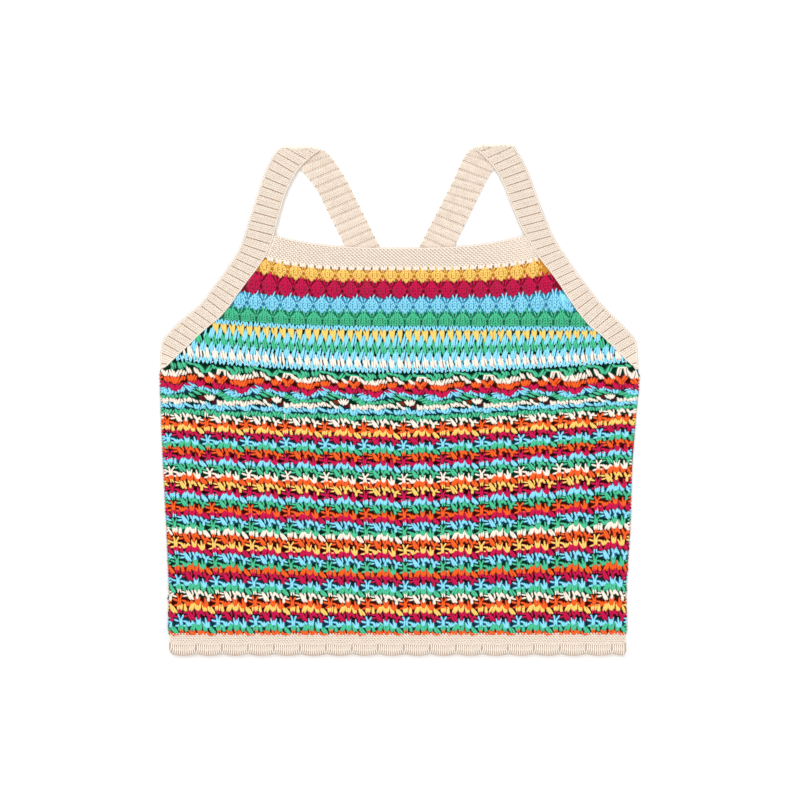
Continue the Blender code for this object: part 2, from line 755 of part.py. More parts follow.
def make_back_hem(collection):
    """The back's hem, plain, with the same shells."""
    outline = [(x, scallop_y(x)) for x in hem_columns(SCALLOP_PITCH / 4.0, HEM_MARGIN)]
    last = COURSES[-1]
    outline += [(HEM_RIGHT, last.y_right - SEAM), (HEM_LEFT, last.y_left - SEAM)]
    flat_slab("hem_back", outline, 0.0, WALL, CREAM, collection)


def main():
    for obj in list(bpy.data.objects):
        bpy.data.objects.remove(obj, do_unlink=True)
    collection = new_collection("knit_vest")
    make_back(collection)
    make_back_band(collection)
    make_back_hem(collection)
    make_front(collection)
    make_neckband(collection)
    make_front_hem(collection)
    make_strap("strap_left", LEFT_FRONT, LEFT_FOLD, LEFT_BACK, False, collection)
    make_strap("strap_right", RIGHT_FRONT, RIGHT_FOLD, RIGHT_BACK, True, collection)


main()
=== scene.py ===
# The looks of a knit vest laid flat with its front up. Each cloth piece is a thin closed shell on its
# solid's form, and the stitches of the front are strands of yarn laid on its shell by small charts.
# Sizes are in millimetres, in the part's own axes: X to the right, Y towards the neck, Z up.

import math
from collections import namedtuple

import bmesh
import bpy
import numpy as np
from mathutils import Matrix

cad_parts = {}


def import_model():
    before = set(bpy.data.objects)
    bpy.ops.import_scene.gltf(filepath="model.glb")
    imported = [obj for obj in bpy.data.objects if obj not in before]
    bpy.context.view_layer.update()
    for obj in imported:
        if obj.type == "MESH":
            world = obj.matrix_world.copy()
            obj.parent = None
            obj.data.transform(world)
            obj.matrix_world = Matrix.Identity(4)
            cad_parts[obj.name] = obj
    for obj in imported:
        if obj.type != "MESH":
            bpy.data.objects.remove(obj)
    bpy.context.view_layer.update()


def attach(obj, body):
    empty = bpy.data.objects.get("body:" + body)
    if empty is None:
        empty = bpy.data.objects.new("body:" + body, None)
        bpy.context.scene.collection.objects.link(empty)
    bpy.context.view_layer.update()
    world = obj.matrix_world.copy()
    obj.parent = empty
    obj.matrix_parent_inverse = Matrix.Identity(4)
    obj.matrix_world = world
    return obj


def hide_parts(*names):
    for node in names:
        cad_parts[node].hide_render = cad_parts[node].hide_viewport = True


MM = 0.001
SHIFT = np.array((0.1, -1.62, 0.0))
RANDOM = np.random.default_rng(7)

# The layers, from the surface up
WALL = 2.3
SEAM = 0.3
FRONT_FLOOR = WALL + SEAM
BAND_TOP = FRONT_FLOOR + WALL
SHELL_WALL = 0.7
SHELL_TOP = FRONT_FLOOR + SHELL_WALL
EDGE_ROUND = 5.0
EDGE_Z = FRONT_FLOOR - 0.4
EDGE_HEIGHT = 0.35
FRONT_UNDER = FRONT_FLOOR + 0.05
SHELL_LEAST = 0.25
BAND_GAP = 0.1
MIDDLE_X = 0.4
FLOOR_HALF = 3000.0
FLOOR_Z = -0.2

# How closely the cloth's grids are laid
LEVEL_SAMPLES = 565
CLOTH_COLUMNS = 61
SHELL_COLUMNS = 71
HEM_COLUMNS = 212

# The front's courses, as in the solid: a level is a count of stripes from the neckband down
Course = namedtuple("Course", "level y_mid x_left y_left x_right y_right bend")
ON_BAND = None
COURSES = (
    Course(0.0, 112.7, ON_BAND, 121.4, ON_BAND, 120.7, 3.6),
    Course(1.0, 101.3, ON_BAND, 110.1, ON_BAND, 107.2, 3.6),
    Course(2.0, 87.8, ON_BAND, 92.8, ON_BAND, 93.7, 3.6),
    Course(3.0, 75.1, ON_BAND, 79.8, ON_BAND, 76.4, 3.2),
    Course(4.0, 63.3, ON_BAND, 69.2, ON_BAND, 62.3, 2.6),
    Course(5.0, 59.8, ON_BAND, 65.8, ON_BAND, 59.4, 2.4),
    Course(6.0, 54.0, ON_BAND, 61.4, ON_BAND, 56.1, 2.2),
    Course(7.0, 46.4, ON_BAND, 55.3, ON_BAND, 51.1, 2.0),
    Course(8.0, 40.5, ON_BAND, 50.4, ON_BAND, 46.4, 1.9),
    Course(9.0, 35.3, ON_BAND, 45.8, ON_BAND, 41.8, 1.8),
    Course(10.0, 27.9, ON_BAND, 38.9, ON_BAND, 35.6, 1.7),
    Course(11.0, 23.6, ON_BAND, 34.4, ON_BAND, 32.6, 1.6),
    Course(12.0, 20.3, ON_BAND, 30.0, ON_BAND, 29.9, 1.5),
    Course(13.0, 16.6, -201.9, 25.2, 201.7, 22.4, 1.4),
    Course(15.0, 6.8, -201.6, 13.5, 201.3, 11.8, 1.3),
    Course(17.0, -2.1, -201.3, 4.2, 200.3, 4.6, 1.3),
    Course(20.0, -16.5, -200.9, -10.5, 199.6, -5.9, 1.3),
    Course(30.0, -63.7, -198.8, -57.0, 195.8, -49.0, 1.3),
    Course(40.0, -113.5, -196.2, -105.9, 194.5, -101.3, 1.3),
    Course(50.0, -164.2, -194.1, -159.5, 190.7, -159.9, 1.3),
    Course(56.4, -196.7, -194.9, -196.7, 191.6, -196.2, 1.3),
)
YOKE_END = 4.0
MESH_END = 11.0
ARMPIT = 12.0
CHEVRON_END = 20.0
LACE_END = COURSES[-1].level

# The yarn of each stripe, by its letter, from the first row of bobbles down
YARN_OF = {"C": "cream", "Y": "yellow", "M": "magenta", "B": "blue", "G": "green", "O": "orange"}
YARNS = tuple(YARN_OF.values())
YOKE_STRIPES = "YMBG"
MESH_STRIPES = "BYBGBCB"
CHEVRON_STRIPES = "GCOMBGCBG"
LACE_STRIPES = "COYMBGOMBGCOYMBGOMBGCOYMBGOMBGCOYMBGO"
STRIPES = YOKE_STRIPES + MESH_STRIPES + CHEVRON_STRIPES + LACE_STRIPES

# The colours of each yarn, 0 to 255, as painted light on its crest and painted shade down its sides
YarnColors = namedtuple("YarnColors", "crest side")
YARN_COLORS = {
    "cream": YarnColors((255, 243, 229), (218, 195, 174)),
    "yellow": YarnColors((255, 216, 116), (236, 160, 52)),
    "magenta": YarnColors((210, 14, 82), (144, 2, 44)),
    "blue": YarnColors((148, 230, 255), (62, 164, 206)),
    "green": YarnColors((80, 200, 150), (24, 132, 98)),
    "orange": YarnColors((252, 102, 38), (196, 44, 10)),
}

# The cream cloth under the bands' and hems' stitches: painted light on its crests and deeper painted shade in
# its grooves
CREAM_CLOTH = YarnColors((253, 240, 225), (158, 122, 98))

# The yarn whose colour is painted in shade under pale stitches, and between the posts of the mesh
UNDER_YARN = {"cream": "green", "yellow": "magenta"}
MESH_SHADE_YARN = "green"

# How much painted shade darkens the yarn under the stitches, the cloth between them and between the
# bobbles, the domes, and the back: the share of its lit colour that is left
FLAT_PAINTED_SHADES = {"under_": 0.45, "gap_": 0.09, "valley_": 0.70}
DOME_SHADE = 1.0
BACK_SHADE = 0.8
BEHIND_SHADE = 0.3

# The tones of the sheets, from 0 in painted shade, as deep in a groove, to 1 in painted light, as on a crest
BAND_TONE = 0.55
PLAIN_TONE = 0.9
REVERSE_TONE = 0.5
NECK_TONE = 0.95
FLUTE_TONE = 0.15
BACK_TONE = 0.8
SHELL_TONE = 0.7

# The shoulder and armhole bands: cross lines from the outer to the inner edge, from the armpit up
Cross = namedtuple("Cross", "outer_x outer_y inner_x inner_y")
LEFT_FRONT = (
    Cross(-201.6, 27.9, -197.9, 29.1),
    Cross(-201.3, 39.2, -191.2, 35.2),
    Cross(-200.2, 50.2, -184.4, 41.4),
    Cross(-193.7, 58.7, -176.8, 48.5),
    Cross(-185.3, 67.1, -169.2, 56.1),
    Cross(-176.4, 74.7, -160.4, 63.7),
    Cross(-166.3, 83.6, -150.8, 71.7),
    Cross(-158.7, 94.1, -141.8, 82.3),
    Cross(-150.7, 104.2, -133.4, 94.5),
    Cross(-142.6, 116.0, -124.1, 106.8),
    Cross(-135.5, 127.9, -114.8, 119.4),
    Cross(-130.8, 139.7, -108.0, 133.4),
    Cross(-126.8, 153.2, -104.0, 147.3),
    Cross(-122.8, 165.0, -101.0, 158.7),
    Cross(-119.0, 176.8, -97.9, 169.6),
    Cross(-114.8, 189.5, -93.7, 180.6),
    Cross(-109.7, 201.3, -89.0, 189.9),
    Cross(-104.7, 210.2, -83.1, 198.3),
)
LEFT_FOLD = Cross(-98.8, 214.1, -66.3, 214.1)
LEFT_BACK = (
    Cross(-83.8, 196.4, -57.8, 206.4),
    Cross(-70.1, 179.4, -46.0, 189.1),
    Cross(-58.7, 156.6, -34.6, 166.7),
    Cross(-46.0, 131.8, -22.4, 142.2),
    Cross(-32.9, 108.5, -9.7, 117.3),
    Cross(-19.8, 84.8, 3.4, 93.3),
    Cross(-6.8, 61.2, 16.5, 69.2),
    Cross(5.5, 39.1, 29.5, 39.1),
)
RIGHT_FRONT = (
    Cross(200.8, 28.3, 198.0, 29.6),
    Cross(200.3, 40.1, 191.6, 35.0),
    Cross(199.3, 51.1, 184.0, 42.2),
    Cross(192.4, 59.9, 176.0, 50.2),
    Cross(183.6, 68.8, 168.4, 57.4),
    Cross(174.7, 77.6, 159.9, 64.1),
    Cross(166.3, 86.9, 151.1, 74.7),
    Cross(158.7, 97.1, 142.6, 86.9),
    Cross(151.1, 106.8, 134.6, 99.2),
    Cross(143.1, 118.2, 126.6, 110.1),
    Cross(135.5, 129.6, 116.9, 122.4),
    Cross(128.7, 141.4, 108.5, 136.3),
    Cross(123.6, 153.2, 102.1, 147.7),
    Cross(119.0, 165.0, 97.1, 159.1),
    Cross(114.8, 176.4, 92.8, 170.1),
    Cross(110.6, 188.2, 88.6, 181.0),
    Cross(105.9, 199.6, 83.6, 191.2),
    Cross(100.4, 209.7, 77.6, 199.6),
)
RIGHT_FOLD = Cross(96.6, 215.4, 62.9, 215.4)
RIGHT_BACK = (
    Cross(79.8, 197.1, 54.9, 206.8),
    Cross(69.6, 179.3, 45.2, 186.1),
    Cross(58.2, 155.7, 34.2, 164.6),
    Cross(46.4, 132.1, 22.8, 142.6),
    Cross(35.0, 109.3, 11.4, 119.4),
    Cross(23.2, 85.7, -0.4, 95.4),
    Cross(11.4, 62.0, -12.2, 71.3),
    Cross(-2.1, 39.1, -26.2, 39.1),
)
CROSSING_Y = 70.9
CROSSING_FLAT = 27.0
CROSSING_RAMP = 10.0
CROSSING_WALL = 1.0
RIB_PITCH = 7.34
RIB_GROOVE = 0.9
RIB_STEP = 0.46
BAND_SHARES = np.array((0.0, 0.02, 0.06, 0.11, 0.20, 0.35, 0.50, 0.65, 0.80, 0.89, 0.94, 0.98, 1.0))
RIB_EDGE = 0.11
GROOVE_WIDTH = 0.62
BAND_EDGE = 1.0 / 11.0
BAND_ROUND = 0.55
BAND_JITTER = 0.06
BAND_COLUMNS = np.linspace(0.115, 0.885, 8)
VEE_PLACES = (0.14, 0.38, 0.62, 0.86)
VEE_REACH = 0.82
VEE_SPREAD = 0.042
VEE_CLOSE = 0.15
VEE_WIDTH = 1.32
CHAIN_SHARES = (0.035, 0.965)
CHAIN_PITCH = 2.1
CHAIN_REACH = 1.15
CHAIN_WIDTH = 1.9
STITCH_RISE = 0.1
STITCH_SINK = 0.25
BUMP_DOWN = 1.22
BUMP_ACROSS = 0.085
BUMP_WIDTH = 1.16
BUMP_REACH = 0.032
BUMP_AT_RIB = 0.55
BUMPS_TO_A_RIB = 6
RIB_LINE_WIDTH = 0.7
REVERSE_LOW_Y = 112.0
FOLD_DROP = 1.6
FOLD_REACH = 4.0
FOLD_ROWS = 5
FOLD_TURNS = 13

# The neckband, the back band and the hems
NECK_TOP_MID = 129.6
NECK_TOP_SIDE = 140.3
NECK_TOP_BEND = 2.8
BACK_BAND_TOP_MID = 38.4
BACK_BAND_TOP_SIDE = 49.4
BACK_BAND_LOW_MID = 16.5
BACK_BAND_LOW_SIDE = 27.4
BACK_BAND_TOP_X = 200.2
BACK_BAND_LOW_X = 201.5
BACK_STRIPE_SHIFT = 2
SCALLOP_PITCH = 21.94
SCALLOP_FIRST = -193.0
HEM_LEFT = -194.6
HEM_RIGHT = 191.4
HEM_FLUTE_TOP = -204.7
HEM_CUSP = -212.8
HEM_LOBE = -214.6
HEM_CORNER = 4.0
HEM_ROUND = 2.0

# Chevrons: the points of the V's, how deep they dip by level, and the eyelets between them
CHEVRON_PITCH = 56.3
CHEVRON_FIRST = -189.5
CHEVRON_COUNT = 8
CHEVRON_DIP_LEVELS = (11.0, 13.0, 15.0, 16.0, 17.0, 20.0)
CHEVRON_DIP_DEPTHS = (0.0, 3.4, 4.4, 3.2, 1.2, 0.0)
Eyelet = namedtuple("Eyelet", "offset low high")
EYELETS = (Eyelet(-5.4, 16.50, 17.35), Eyelet(5.0, 16.95, 17.85))
EYELET_WIDTH = 5.6
EYELET_MARGIN = 1.2

# The star columns of the lace, near its top and at the hem line
StarColumns = namedtuple("StarColumns", "level first pitch")
STARS_HIGH = StarColumns(28.0, -193.9, 32.88)
STARS_LOW = StarColumns(55.0, -184.6, 31.62)
STAR_CELLS = 13


def lerp(start, end, share):
    return start + (end - start) * share


def smooth_step(value):
    value = np.clip(value, 0.0, 1.0)
    return value * value * (3.0 - 2.0 * value)


# The forms that the stitches follow

def smooth_band(crosses, steps=6):
    """Cross lines along a band, close together (Catmull-Rom), and their distance along its middle."""
    table = np.array(crosses, float)
    last = len(table) - 1
    dense = []
    for index in range(last):
        before = table[max(index - 1, 0)]
        start, end = table[index], table[index + 1]
        after = table[min(index + 2, last)]
        for step in range(steps):
            share = step / steps
            rest = 1.0 - share
            blend = start * (1.0 + 2.0 * share) * rest ** 2 + end * (3.0 - 2.0 * share) * share ** 2
            blend += (end - before) / 2.0 * share * rest ** 2 - (after - start) / 2.0 * rest * share ** 2
            dense.append(blend)
    dense.append(table[last])
    dense = np.array(dense)
    middle = (dense[:, :2] + dense[:, 2:]) / 2.0
    runs = np.hypot(*np.diff(middle, axis=0).T)
    return np.concatenate(((0.0,), np.cumsum(runs))), dense


def crosses_at(band, distance):
    """The cross lines at distances along a band, one row each."""
    lengths, dense = band
    return np.stack([np.interp(distance, lengths, column) for column in dense.T], axis=-1)


BAND_LEFT = smooth_band(LEFT_FRONT)
BAND_RIGHT = smooth_band(RIGHT_FRONT)


def inner_edge_x(band, y):
    dense = band[1]
    return np.interp(y, dense[:, 3], dense[:, 2])


def course_table():
    """The ends, middle height and bend of the front's line at closely spaced levels."""
    levels = np.linspace(0.0, LACE_END, LEVEL_SAMPLES)

    def column(name, courses=COURSES):
        given = [course.level for course in courses]
        return np.interp(levels, given, [getattr(course, name) for course in courses])

    below = [course for course in COURSES if course.level > ARMPIT]
    on_band = levels <= ARMPIT
    y_left, y_right = column("y_left"), column("y_right")
    x_left = np.where(on_band, inner_edge_x(BAND_LEFT, y_left) + BAND_GAP, column("x_left", below))
    x_right = np.where(on_band, inner_edge_x(BAND_RIGHT, y_right) - BAND_GAP, column("x_right", below))
    return levels, np.stack((x_left, y_left, x_right, y_right, column("y_mid"), column("bend")))


COURSE_LEVELS, COURSE_TABLE = course_table()


def front_ends(level):
    """How far across the front's left and right ends are at a level."""
    return (np.interp(level, COURSE_LEVELS, COURSE_TABLE[0]),
            np.interp(level, COURSE_LEVELS, COURSE_TABLE[2]))


def chevron_dip(x, level):
    turn = ((x - CHEVRON_FIRST) / CHEVRON_PITCH) % 1.0
    away = np.minimum(turn, 1.0 - turn) * 2.0
    return np.interp(level, CHEVRON_DIP_LEVELS, CHEVRON_DIP_DEPTHS) * (1.0 - away) ** 2


def front_y(x, level):
    """The height of the front's course at a place across."""
    x_left, y_left, x_right, y_right, y_mid, bend = (np.interp(level, COURSE_LEVELS, row)
                                                     for row in COURSE_TABLE)
    end_x = np.where(x < MIDDLE_X, x_left, x_right)
    end_y = np.where(x < MIDDLE_X, y_left, y_right)
    share = np.clip(np.abs((x - MIDDLE_X) / (end_x - MIDDLE_X)), 0.0, 1.0)
    return y_mid + (end_y - y_mid) * share ** bend - chevron_dip(x, level)


def edge_share(x, level):
    """From 0 at the garment's side to 1 inside, where the front no longer turns down."""
    left, right = front_ends(level)
    inset = np.clip(np.minimum(x - left, right - x), 0.0, EDGE_ROUND) / EDGE_ROUND
    return np.where(level > ARMPIT, np.sqrt(1.0 - (1.0 - inset) ** 2), 1.0)


def over_eyelet(x, level):
    """Whether places across, at a level, lie over one of the eyelets."""
    from_middle = (x - CHEVRON_FIRST) % CHEVRON_PITCH - CHEVRON_PITCH / 2.0
    over = np.zeros(len(x), bool)
    for eyelet in EYELETS:
        if eyelet.low < level < eyelet.high:
            over |= np.abs(from_middle - eyelet.offset) < EYELET_WIDTH / 2.0
    return over


def front_points(x, level, height):
    """Points on the front, height above the top of its shell."""
    x = np.asarray(x, float)
    level = np.asarray(level, float)
    share = edge_share(x, level)
    z = lerp(EDGE_Z, SHELL_TOP, share) + height * lerp(EDGE_HEIGHT, 1.0, share)
    return np.stack((x, front_y(x, level), z), axis=-1)


def raised(first, last, height):
    """The middle between two ends, raised by a height."""
    middle = (first + last) / 2.0
    middle[:, 2] += height
    return middle


# Meshes from arrays

def new_object(name, mesh):
    obj = bpy.data.objects.new(name, mesh)
    bpy.context.scene.collection.objects.link(obj)
    return obj


def mesh_of(name, points, quads, tris=np.zeros((0, 3), int)):
    """A smooth mesh of points in millimetres."""
    mesh = bpy.data.meshes.new(name)
    places = (points + SHIFT) * MM
    corners = np.concatenate((quads.ravel(), tris.ravel()))
    starts = np.concatenate((np.arange(len(quads)) * 4, quads.size + np.arange(len(tris)) * 3))
    mesh.vertices.add(len(places))
    mesh.vertices.foreach_set("co", places.astype(np.float32).ravel())
    mesh.loops.add(len(corners))
    mesh.loops.foreach_set("vertex_index", corners.astype(np.int32))
    mesh.polygons.add(len(starts))
    mesh.polygons.foreach_set("loop_start", starts.astype(np.int32))
    mesh.update(calc_edges=True)
    mesh.validate()
    mesh.shade_smooth()
    return mesh


def point_attribute(mesh, name, values):
    attribute = mesh.attributes.new(name, "FLOAT_VECTOR", "POINT")
    attribute.data.foreach_set("vector", values.astype(np.float32).ravel())


def closed_sheet(name, outer, inner, keep=None, shades=None, marks=None, inner_marks=None):
    """A thin closed shell between two grids of points. keep leaves cells out, and shades gives each
    cell the number of its material."""
    rows, columns = outer.shape[:2]
    keep = np.ones((rows - 1, columns - 1), bool) if keep is None else keep
    number = np.arange(rows * columns).reshape(rows, columns)
    under = rows * columns
    cells = np.stack((number[:-1, :-1], number[1:, :-1], number[1:, 1:], number[:-1, 1:]), axis=-1)
    solid = np.zeros((rows + 1, columns + 1), bool)
    solid[1:-1, 1:-1] = keep
    faces = [cells[keep], cells[keep][:, ::-1] + under]
    shade = np.zeros(keep.shape, int) if shades is None else shades
    colors = [shade[keep], shade[keep]]
    padded = np.pad(shade, 1, mode="edge")
    for row_step, column_step, first, second in ((-1, 0, 3, 0), (1, 0, 1, 2), (0, -1, 0, 1), (0, 1, 2, 3)):
        beside = np.roll(solid, (-row_step, -column_step), axis=(0, 1))[1:-1, 1:-1]
        rim = keep & ~beside
        edge = cells[rim]
        a, b = edge[:, first], edge[:, second]
        faces.append(np.stack((b, a, a + under, b + under), axis=-1))
        colors.append(padded[1:-1, 1:-1][rim])
    points = np.concatenate((outer.reshape(-1, 3), inner.reshape(-1, 3)))
    quads = np.concatenate(faces)
    used, renumbered = np.unique(quads, return_inverse=True)
    mesh = mesh_of(name, points[used], renumbered.reshape(quads.shape))
    mesh.polygons.foreach_set("material_index", np.concatenate(colors).astype(np.int32))
    if marks is not None:
        inner_marks = marks if inner_marks is None else inner_marks
        both = np.concatenate((marks.reshape(-1, 3), inner_marks.reshape(-1, 3)))
        point_attribute(mesh, "yarn", both[used])
    bm = bmesh.new()
    bm.from_mesh(mesh)
    bmesh.ops.recalc_face_normals(bm, faces=bm.faces)
    bm.to_mesh(mesh)
    bm.free()
    mesh.set_sharp_from_angle(angle=math.radians(50.0))
    return new_object(name, mesh)


# Strands of yarn. A strand is a curved, closed piece of yarn through three points, and its kind says
# how its width changes from its first end to its last.
PROFILE_PLACES = (0.0, 0.05, 0.26, 0.52, 0.78, 0.95, 1.0)
PROFILES = {
    "drop": (0.30, 0.42, 0.60, 0.84, 1.00, 0.72, 0.50),
    "leaf": (0.30, 0.45, 0.85, 1.00, 0.80, 0.42, 0.30),
    "arm": (0.45, 0.66, 0.94, 1.00, 0.94, 0.66, 0.45),
    "tail": (0.50, 0.70, 1.00, 0.92, 0.66, 0.40, 0.30),
    "bead": (0.30, 0.55, 0.95, 1.00, 0.95, 0.55, 0.30),
    "dome": (0.22, 0.46, 0.88, 1.00, 0.88, 0.46, 0.22),
}

# How thick a strand is for its width, the places of the rings of fine ones, and a length near zero
ROUND = 0.85
FINE_RINGS = (0.12, 0.50, 0.88)
TINY = 1e-9


class Strands:
    """Strands gathered by yarn, and made into one mesh a yarn, with so many sides and rings each."""

    def __init__(self, sides, ring_places):
        self.sides = sides
        self.ring_places = ring_places
        self.by_yarn = {}

    def add(self, yarn, start, middle, end, width, kind, thickness=ROUND):
        """Strands through start, middle and end, which are arrays of points."""
        count = len(start)
        ends = np.stack((start, middle, end), axis=1)
        widths = np.broadcast_to(np.asarray(width, float), (count,))
        flats = np.broadcast_to(np.asarray(thickness, float), (count,))
        profile = np.interp(self.ring_places, PROFILE_PLACES, PROFILES[kind])
        profile = np.broadcast_to(profile, (count, len(self.ring_places)))
        self.by_yarn.setdefault(yarn, []).append((ends, widths, flats, profile))

    def build(self, name, yarn):
        groups = self.by_yarn[yarn]
        ends, widths, flats, profile = (np.concatenate(part) for part in zip(*groups))
        count = len(ends)
        start, end = ends[:, 0], ends[:, 2]
        pull = 2.0 * ends[:, 1] - (start + end) / 2.0
        rings = []
        marks = []
        turn = np.arange(self.sides) / self.sides * 2.0 * np.pi
        seed = RANDOM.random(count)
        length = np.linalg.norm(end - start, axis=1)
        for number, place in enumerate(self.ring_places):
            rest = 1.0 - place
            centre = start * rest ** 2 + pull * 2.0 * rest * place + end * place ** 2
            along = (pull - start) * rest + (end - pull) * place
            along /= np.linalg.norm(along, axis=1, keepdims=True) + TINY
            side = np.cross(along, (0.0, 0.0, 1.0))
            side /= np.linalg.norm(side, axis=1, keepdims=True) + TINY
            up = np.cross(side, along)
            half = (widths / 2.0 * profile[:, number])[:, None, None]
            ring = centre[:, None] + half * (side[:, None] * np.cos(turn)[None, :, None]
                                             + up[:, None] * (np.sin(turn)[None, :, None]
                                                              * flats[:, None, None]))
            rings.append(ring)
            marks.append(np.stack(np.broadcast_arrays((length * place)[:, None], (turn / (2.0 * np.pi))[None],
                                                      seed[:, None]), axis=-1))
        tips = [start[:, None], end[:, None]]
        tip_marks = [np.stack((length * place, length * 0.0, seed), axis=-1)[:, None] for place in (0.0, 1.0)]
        points = np.concatenate(rings + tips, axis=1)
        marks = np.concatenate(marks + tip_marks, axis=1)
        quads, tris = strand_faces(self.sides, len(self.ring_places))
        base = (np.arange(count) * points.shape[1])[:, None, None]
        mesh = mesh_of(name, points.reshape(-1, 3), (quads[None] + base).reshape(-1, 4),
                       (tris[None] + base).reshape(-1, 3))
        point_attribute(mesh, "yarn", marks.reshape(-1, 3))
        return new_object(name, mesh)


def strand_faces(sides, rings):
    """The faces of one strand: quads between its rings, and a fan at each tip."""
    quads = []
    tris = []
    for side in range(sides):
        following = (side + 1) % sides
        for ring in range(rings - 1):
            low, high = ring * sides, (ring + 1) * sides
            quads.append((low + side, high + side, high + following, low + following))
        last = (rings - 1) * sides
        tris.append((rings * sides, side, following))
        tris.append((rings * sides + 1, last + following, last + side))
    return np.array(quads), np.array(tris)


# A chart's row: a strand from (u0, v0) to (u1, v1), where u runs across one repeat and v down one
# stripe. bow pushes its middle sideways in millimetres, and copies lays that many side by side.
Stitch = namedtuple("Stitch", "u0 v0 u1 v1 width kind bow copies", defaults=("arm", 0.0, 1))

# How charts are laid: the wider strands in painted shade under the strands, how they gather and how much they
# vary
UNDER_WIDTH = 1.8
UNDER_DEPTH = 0.75
UNDER_ROUND = 0.35
COPY_SPACING = 0.92
DROP_GATHER = 0.55
END_HEIGHT = 0.85
SELVEDGE = 0.5
STITCH_INSET = 0.7
JITTER_DOWN = 0.35
WIDTH_SPREAD = 0.05


def lay_chart(strands, under, yarn, chart, across, level, low=0.15, high=1.0, jitter=0.25, fuller=1.0):
    """Lays a chart at every repeat, with a wider strand in painted shade under each strand. across(u, level)
    gives the places of all repeats at once, and fuller widens every strand."""
    left, right = front_ends(level + 0.5)
    for item in chart:
        level0, level1 = level + item.v0, level + item.v1
        for copy in range(item.copies):
            shift = (copy - (item.copies - 1) / 2.0) * item.width * COPY_SPACING
            x0, x1 = across(item.u0, level0), across(item.u1, level1)
            wobble = RANDOM.normal(0.0, jitter, (4, len(x0)))
            x0 = x0 + shift * (DROP_GATHER if item.kind == "drop" else 1.0) + wobble[0]
            x1 = x1 + shift + wobble[1]
            middle = (x0 + x1) / 2.0
            inside = (middle > left + SELVEDGE) & (middle < right - SELVEDGE)
            inside &= ~over_eyelet(middle, (level0 + level1) / 2.0)
            if not inside.any():
                continue
            start = front_points(np.clip(x0[inside], left + STITCH_INSET, right - STITCH_INSET), level0, low)
            end = front_points(np.clip(x1[inside], left + STITCH_INSET, right - STITCH_INSET), level1,
                               high * END_HEIGHT)
            start[:, 1] += wobble[2, inside] * JITTER_DOWN
            end[:, 1] += wobble[3, inside] * JITTER_DOWN
            along = end - start
            along /= np.linalg.norm(along, axis=1, keepdims=True) + TINY
            centre = (start + end) / 2.0
            centre[:, 0] -= along[:, 1] * item.bow
            centre[:, 1] += along[:, 0] * item.bow
            centre[:, 2] = front_points(middle[inside], (level0 + level1) / 2.0, high)[:, 2]
            width = item.width * fuller * (1.0 + RANDOM.normal(0.0, WIDTH_SPREAD, len(start)))
            strands.add(yarn, start, centre, end, width, item.kind)
            # A wider, lower strand under it, in its yarn's copy in painted shade
            if under and copy == 0:
                lowered = [points - (0.0, 0.0, UNDER_DEPTH) for points in (start, centre, end)]
                under.add(UNDER_YARN.get(yarn, yarn), *lowered, width * UNDER_WIDTH, item.kind, UNDER_ROUND)


# The lace, three stripes to a repeat down and one star to a repeat across

V_ROW = (
    Stitch(-0.03, -0.80, -0.015, 0.35, 1.5, "arm", 0.3),
    Stitch(0.03, -0.88, 0.055, 0.30, 1.5, "arm", -0.3),
    Stitch(0.07, 0.10, 0.20, 0.25, 1.5),
    Stitch(0.08, 0.78, 0.22, 0.62, 1.5),
    Stitch(0.80, 0.66, 0.94, 0.88, 1.5),
    Stitch(0.205, -0.25, 0.345, 1.30, 2.5, "drop", 0.0, 2),
    Stitch(0.315, -0.40, 0.365, 0.75, 1.6, "leaf", 0.8),
    Stitch(0.425, -0.50, 0.475, 0.45, 2.0),
    Stitch(0.555, -0.50, 0.505, 0.45, 2.0),
    Stitch(0.485, 0.15, 0.490, 1.15, 2.9, "drop"),
    Stitch(0.520, 0.45, 0.585, -0.15, 2.2),
    Stitch(0.580, -0.20, 0.660, 0.65, 2.4, "leaf", -0.5),
    Stitch(0.680, -0.10, 0.760, 0.80, 2.4),
    Stitch(0.865, 0.30, 0.785, 0.80, 2.3),
    Stitch(0.770, 0.45, 0.772, 1.50, 2.9, "drop"),
)
STAR_ROW = (
    Stitch(-0.028, -0.10, -0.025, 1.10, 1.9, "arm", 0.5),
    Stitch(0.036, -0.10, 0.033, 1.10, 1.9, "arm", -0.5),
    Stitch(-0.010, 0.15, -0.055, -0.60, 1.6),
    Stitch(0.025, 0.15, 0.095, -0.55, 1.6),
    Stitch(-0.025, 0.45, -0.175, 0.15, 1.7, "arm", 0.3),
    Stitch(0.045, 0.40, 0.190, 0.62, 1.7, "arm", 0.3),
    Stitch(0.145, 0.35, 0.225, 1.25, 2.6, "leaf"),
    Stitch(0.225, 0.40, 0.235, 1.20, 2.0, "leaf"),
    Stitch(0.315, 0.50, 0.240, 1.15, 2.5, "leaf"),
    Stitch(-0.15, 1.20, -0.03, 1.02, 1.7),
    Stitch(0.06, 1.05, 0.15, 1.20, 1.6),
    Stitch(0.415, -0.20, 0.470, 1.05, 2.3, "drop"),
    Stitch(0.480, -0.10, 0.480, 1.00, 2.0, "drop"),
    Stitch(0.550, -0.20, 0.492, 1.05, 2.3, "drop"),
    Stitch(0.575, 0.40, 0.690, 1.50, 2.5, "drop"),
    Stitch(0.665, -0.15, 0.705, 1.50, 2.6, "drop"),
    Stitch(0.755, 0.20, 0.715, 1.45, 2.5, "drop"),
    Stitch(0.300, 0.30, 0.390, 0.90, 1.8, "leaf"),
)
